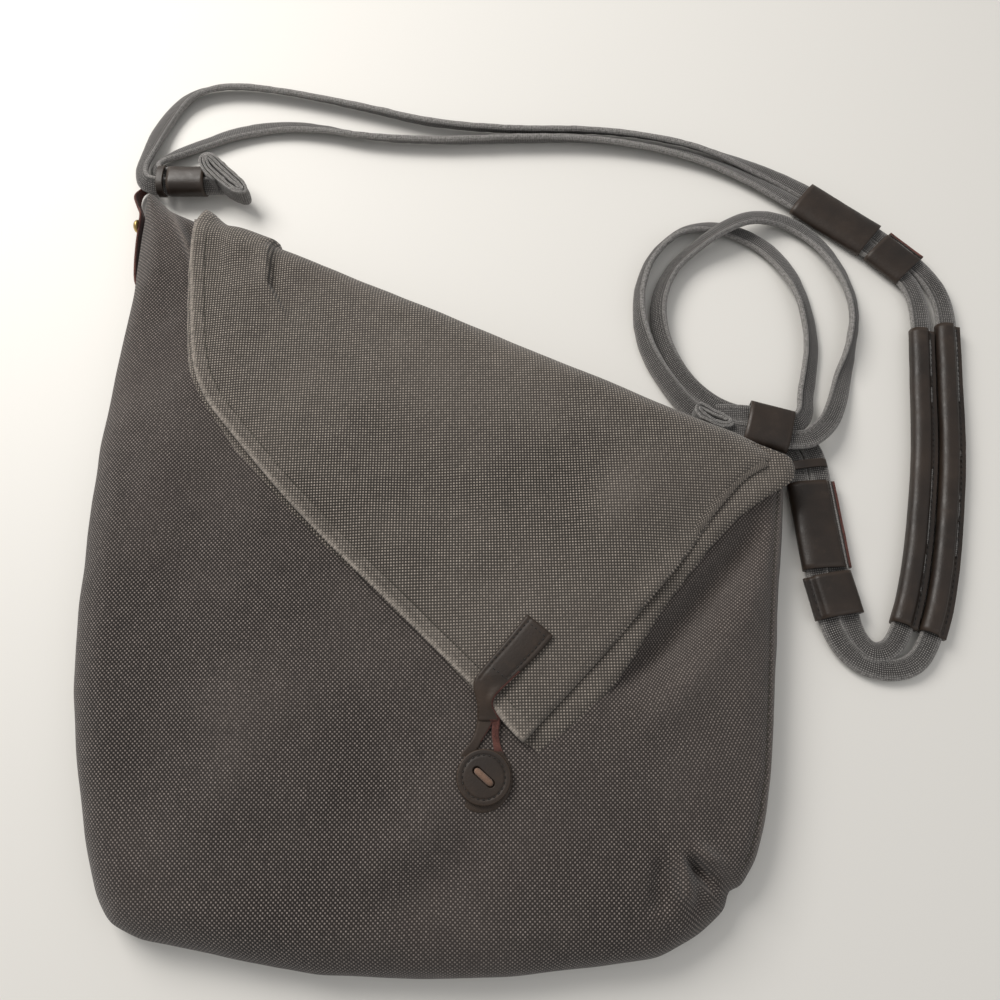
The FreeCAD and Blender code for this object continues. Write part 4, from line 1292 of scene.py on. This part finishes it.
low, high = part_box("button_disc")
centre = np.array([(low.x + high.x) / 2, (low.y + high.y) / 2])
buttonTop, buttonLow = high.z + 0.4 * mm, low.z
radius = closure["buttonRadius"]
profile = [(share * radius * 0.955, 0.0) for share in np.linspace(0.02, 1, 60)]
profile += [(radius * 0.985, -0.25 * mm), (radius, -0.8 * mm), (radius * 0.99, -1.35 * mm),
            (radius * 0.975, -1.5 * mm), (radius * 0.995, -1.65 * mm), (radius, -2.3 * mm),
            (radius * 0.97, buttonLow - buttonTop)]
turn = np.linspace(0, 2 * math.pi, 145)[:-1]
slotWay = np.array([math.cos(closure["slotTurn"]), math.sin(closure["slotTurn"])])
rings = []
for out, drop in profile:
    plan = np.stack([np.cos(turn), np.sin(turn)], 1) * out
    half = (closure["slotLength"] - closure["slotWidth"]) / 2
    reach = plan - np.clip(plan @ slotWay, -half, half)[:, None] * slotWay
    inside = 1 - smoothstep(np.linalg.norm(reach, axis=1), closure["slotWidth"] / 2 - 0.5 * mm,
                            closure["slotWidth"] / 2 + 0.15 * mm)
    dent = -1.9 * mm * inside - 0.35 * mm * math.exp(-((out - closure["stitchRing"]) / (0.6 * mm)) ** 2)
    dome = 0.5 * mm * (1 - (out / radius) ** 2)
    rings.append(np.column_stack([plan + centre, buttonTop + drop + dent + dome]))
disc = np.array(rings)
buttonPiece = makePiece("buttonDisc", disc.reshape(-1, 3), flipped(tubeFaces(*disc.shape[:2])), tabLeather,
                        disc.reshape(-1, 3)[:, :2])
radiusAt = np.repeat([out for out, drop in profile], disc.shape[1])
setWeight(buttonPiece, "wear", np.where(radiusAt > radius * 0.95, 0.75, 0.1))
settle(buttonPiece, "button", ["button_disc"])
circle = np.linspace(0, 2 * math.pi, 73)
ringLine = np.column_stack([centre[0] + closure["stitchRing"] * np.cos(circle),
                            centre[1] + closure["stitchRing"] * np.sin(circle),
                            np.full(73, buttonTop + 0.02 * mm)])
buttonStitches = stitchPiece("buttonStitches", [ringLine], darkThread, closure["stitchSpacing"], 1.6 * mm,
                             0.6 * mm,
                             seed=9)
settle(buttonStitches, "button")

# the thong's short bar in the slot
bar = np.linspace(-1, 1, 40)
length, thick = closure["slotLength"] * 0.44, closure["slotWidth"] * 0.42
girth = thick * np.sqrt(np.maximum(1 - np.abs(bar) ** 6, 0.02))
ringTurn = np.linspace(0, 2 * math.pi, 21)[:-1]
sideWay = np.array([-slotWay[1], slotWay[0]])
barRings = []
for share, size in zip(bar, girth):
    plan = centre + slotWay * share * length + np.outer(np.cos(ringTurn) * size, sideWay)
    barRings.append(np.column_stack([plan, buttonTop - 0.75 * mm + np.sin(ringTurn) * size]))
thongPiece = makePiece("buttonThong", np.concatenate(barRings), tubeFaces(len(bar), len(ringTurn)), thong)
settle(thongPiece, "button", ["button_thong"])
print("closure ready")


# the leather side tabs that hold the strap, and their brass rivets
tabs = {"leather": 1.4 * mm, "rivetRadius": 4.1 * mm, "rivetDome": 2.7 * mm}
# across and along the side, lowest and highest point of the strip there
leftTabLine = [(-180.5, 150, 7, 15), (-184.4, 156, 4, 15.0), (-186.4, 168, 4, 15.0), (-187.8, 184, 4, 14.5),
               (-188.2, 198, 4, 14.5), (-189.0, 207, 3.5, 14), (-192.6, 214, 2, 12), (-195.8, 222, 1.5, 10.5),
               (-195.0, 229, 1.5, 7.0), (-190.5, 233, 1.5, 6.0)]
rightTabLine = [(186.6, 4, 1.5, 6), (188.6, 14, 1.5, 7), (190.6, 26, 1.5, 7), (194.0, 36, 1.5, 7),
                (198.5, 41, 1.5, 7)]


def tabPiece(name, node, line, outwards):
    run = softLine(np.array(line) * mm, 80)
    tangent = unit(np.gradient(run[:, :2], axis=0))
    out = np.stack([tangent[:, 1], -tangent[:, 0]], 1)
    out = out * np.sign(out[20] @ np.array(outwards))
    levels = np.linspace(0, 1, 12)
    z = run[:, 2:3] + (run[:, 3:4] - run[:, 2:3]) * levels
    bulge = tabs["leather"] + 0.5 * mm * np.sin(levels * math.pi)
    grid = np.stack([run[:, None, 0] + out[:, None, 0] * bulge, run[:, None, 1] + out[:, None, 1] * bulge,
                     z], -1)
    uv = np.stack(np.broadcast_arrays(lengthsAlong(run)[:, None], z), -1)
    if gridNormals(grid)[20, 6, :2] @ out[20] < 0:
        grid, uv = grid[:, ::-1], uv[:, ::-1]
    piece = clothSheet(name, grid, uv, tabs["leather"], rawEdge, np.full(grid.shape[:2], 0.3))
    settle(piece, "bag", [node])


tabPiece("leftTab", "left_side_tab", leftTabLine, (-1, 0))
tabPiece("rightTab", "right_side_tab", rightTabLine, (1, 0))
for name, line, centre, width in [("leftTabRing", [(-0.1815, 0.232), (-0.1775, 0.232)], 12 * mm, 20.5 * mm),
                                  ("rightTabRing", [(0.2068, 0.0375), (0.2062, 0.0420)], 5.3 * mm, 25 * mm)]:
    settle(sleevePiece(name, line, centre, width, 0)[0], "bag")

turn = np.linspace(0, 2 * math.pi, 33)[:-1]
rises = np.linspace(0, 0.97, 12) * math.pi / 2
for name, place, angle in [("leftRivet", (-190.0, 197, 12.8), math.pi),
                           ("rightRivet", (189.0, 18, 4.4), -0.1)]:
    rings = []
    for rise in rises:
        out, high = tabs["rivetRadius"] * math.cos(rise), tabs["rivetDome"] * math.sin(rise)
        rings.append(np.stack([np.full(len(turn), high), np.cos(turn) * out, np.sin(turn) * out], 1))
    rings.insert(0, rings[0] * [1, 0.96, 0.96] - [0.6 * mm, 0, 0])      # the rim's underside
    dome = np.concatenate(rings)
    c, s = math.cos(angle), math.sin(angle)
    dome = dome @ np.array([[c, s, 0], [-s, c, 0], [0, 0, 1]]) + np.array(place) * mm
    rivet = makePiece(name, dome, tubeFaces(len(rings), len(turn)), brass)
    settle(rivet, "bag", ["tab_rivets"] if name == "leftRivet" else ())
print("tabs ready")
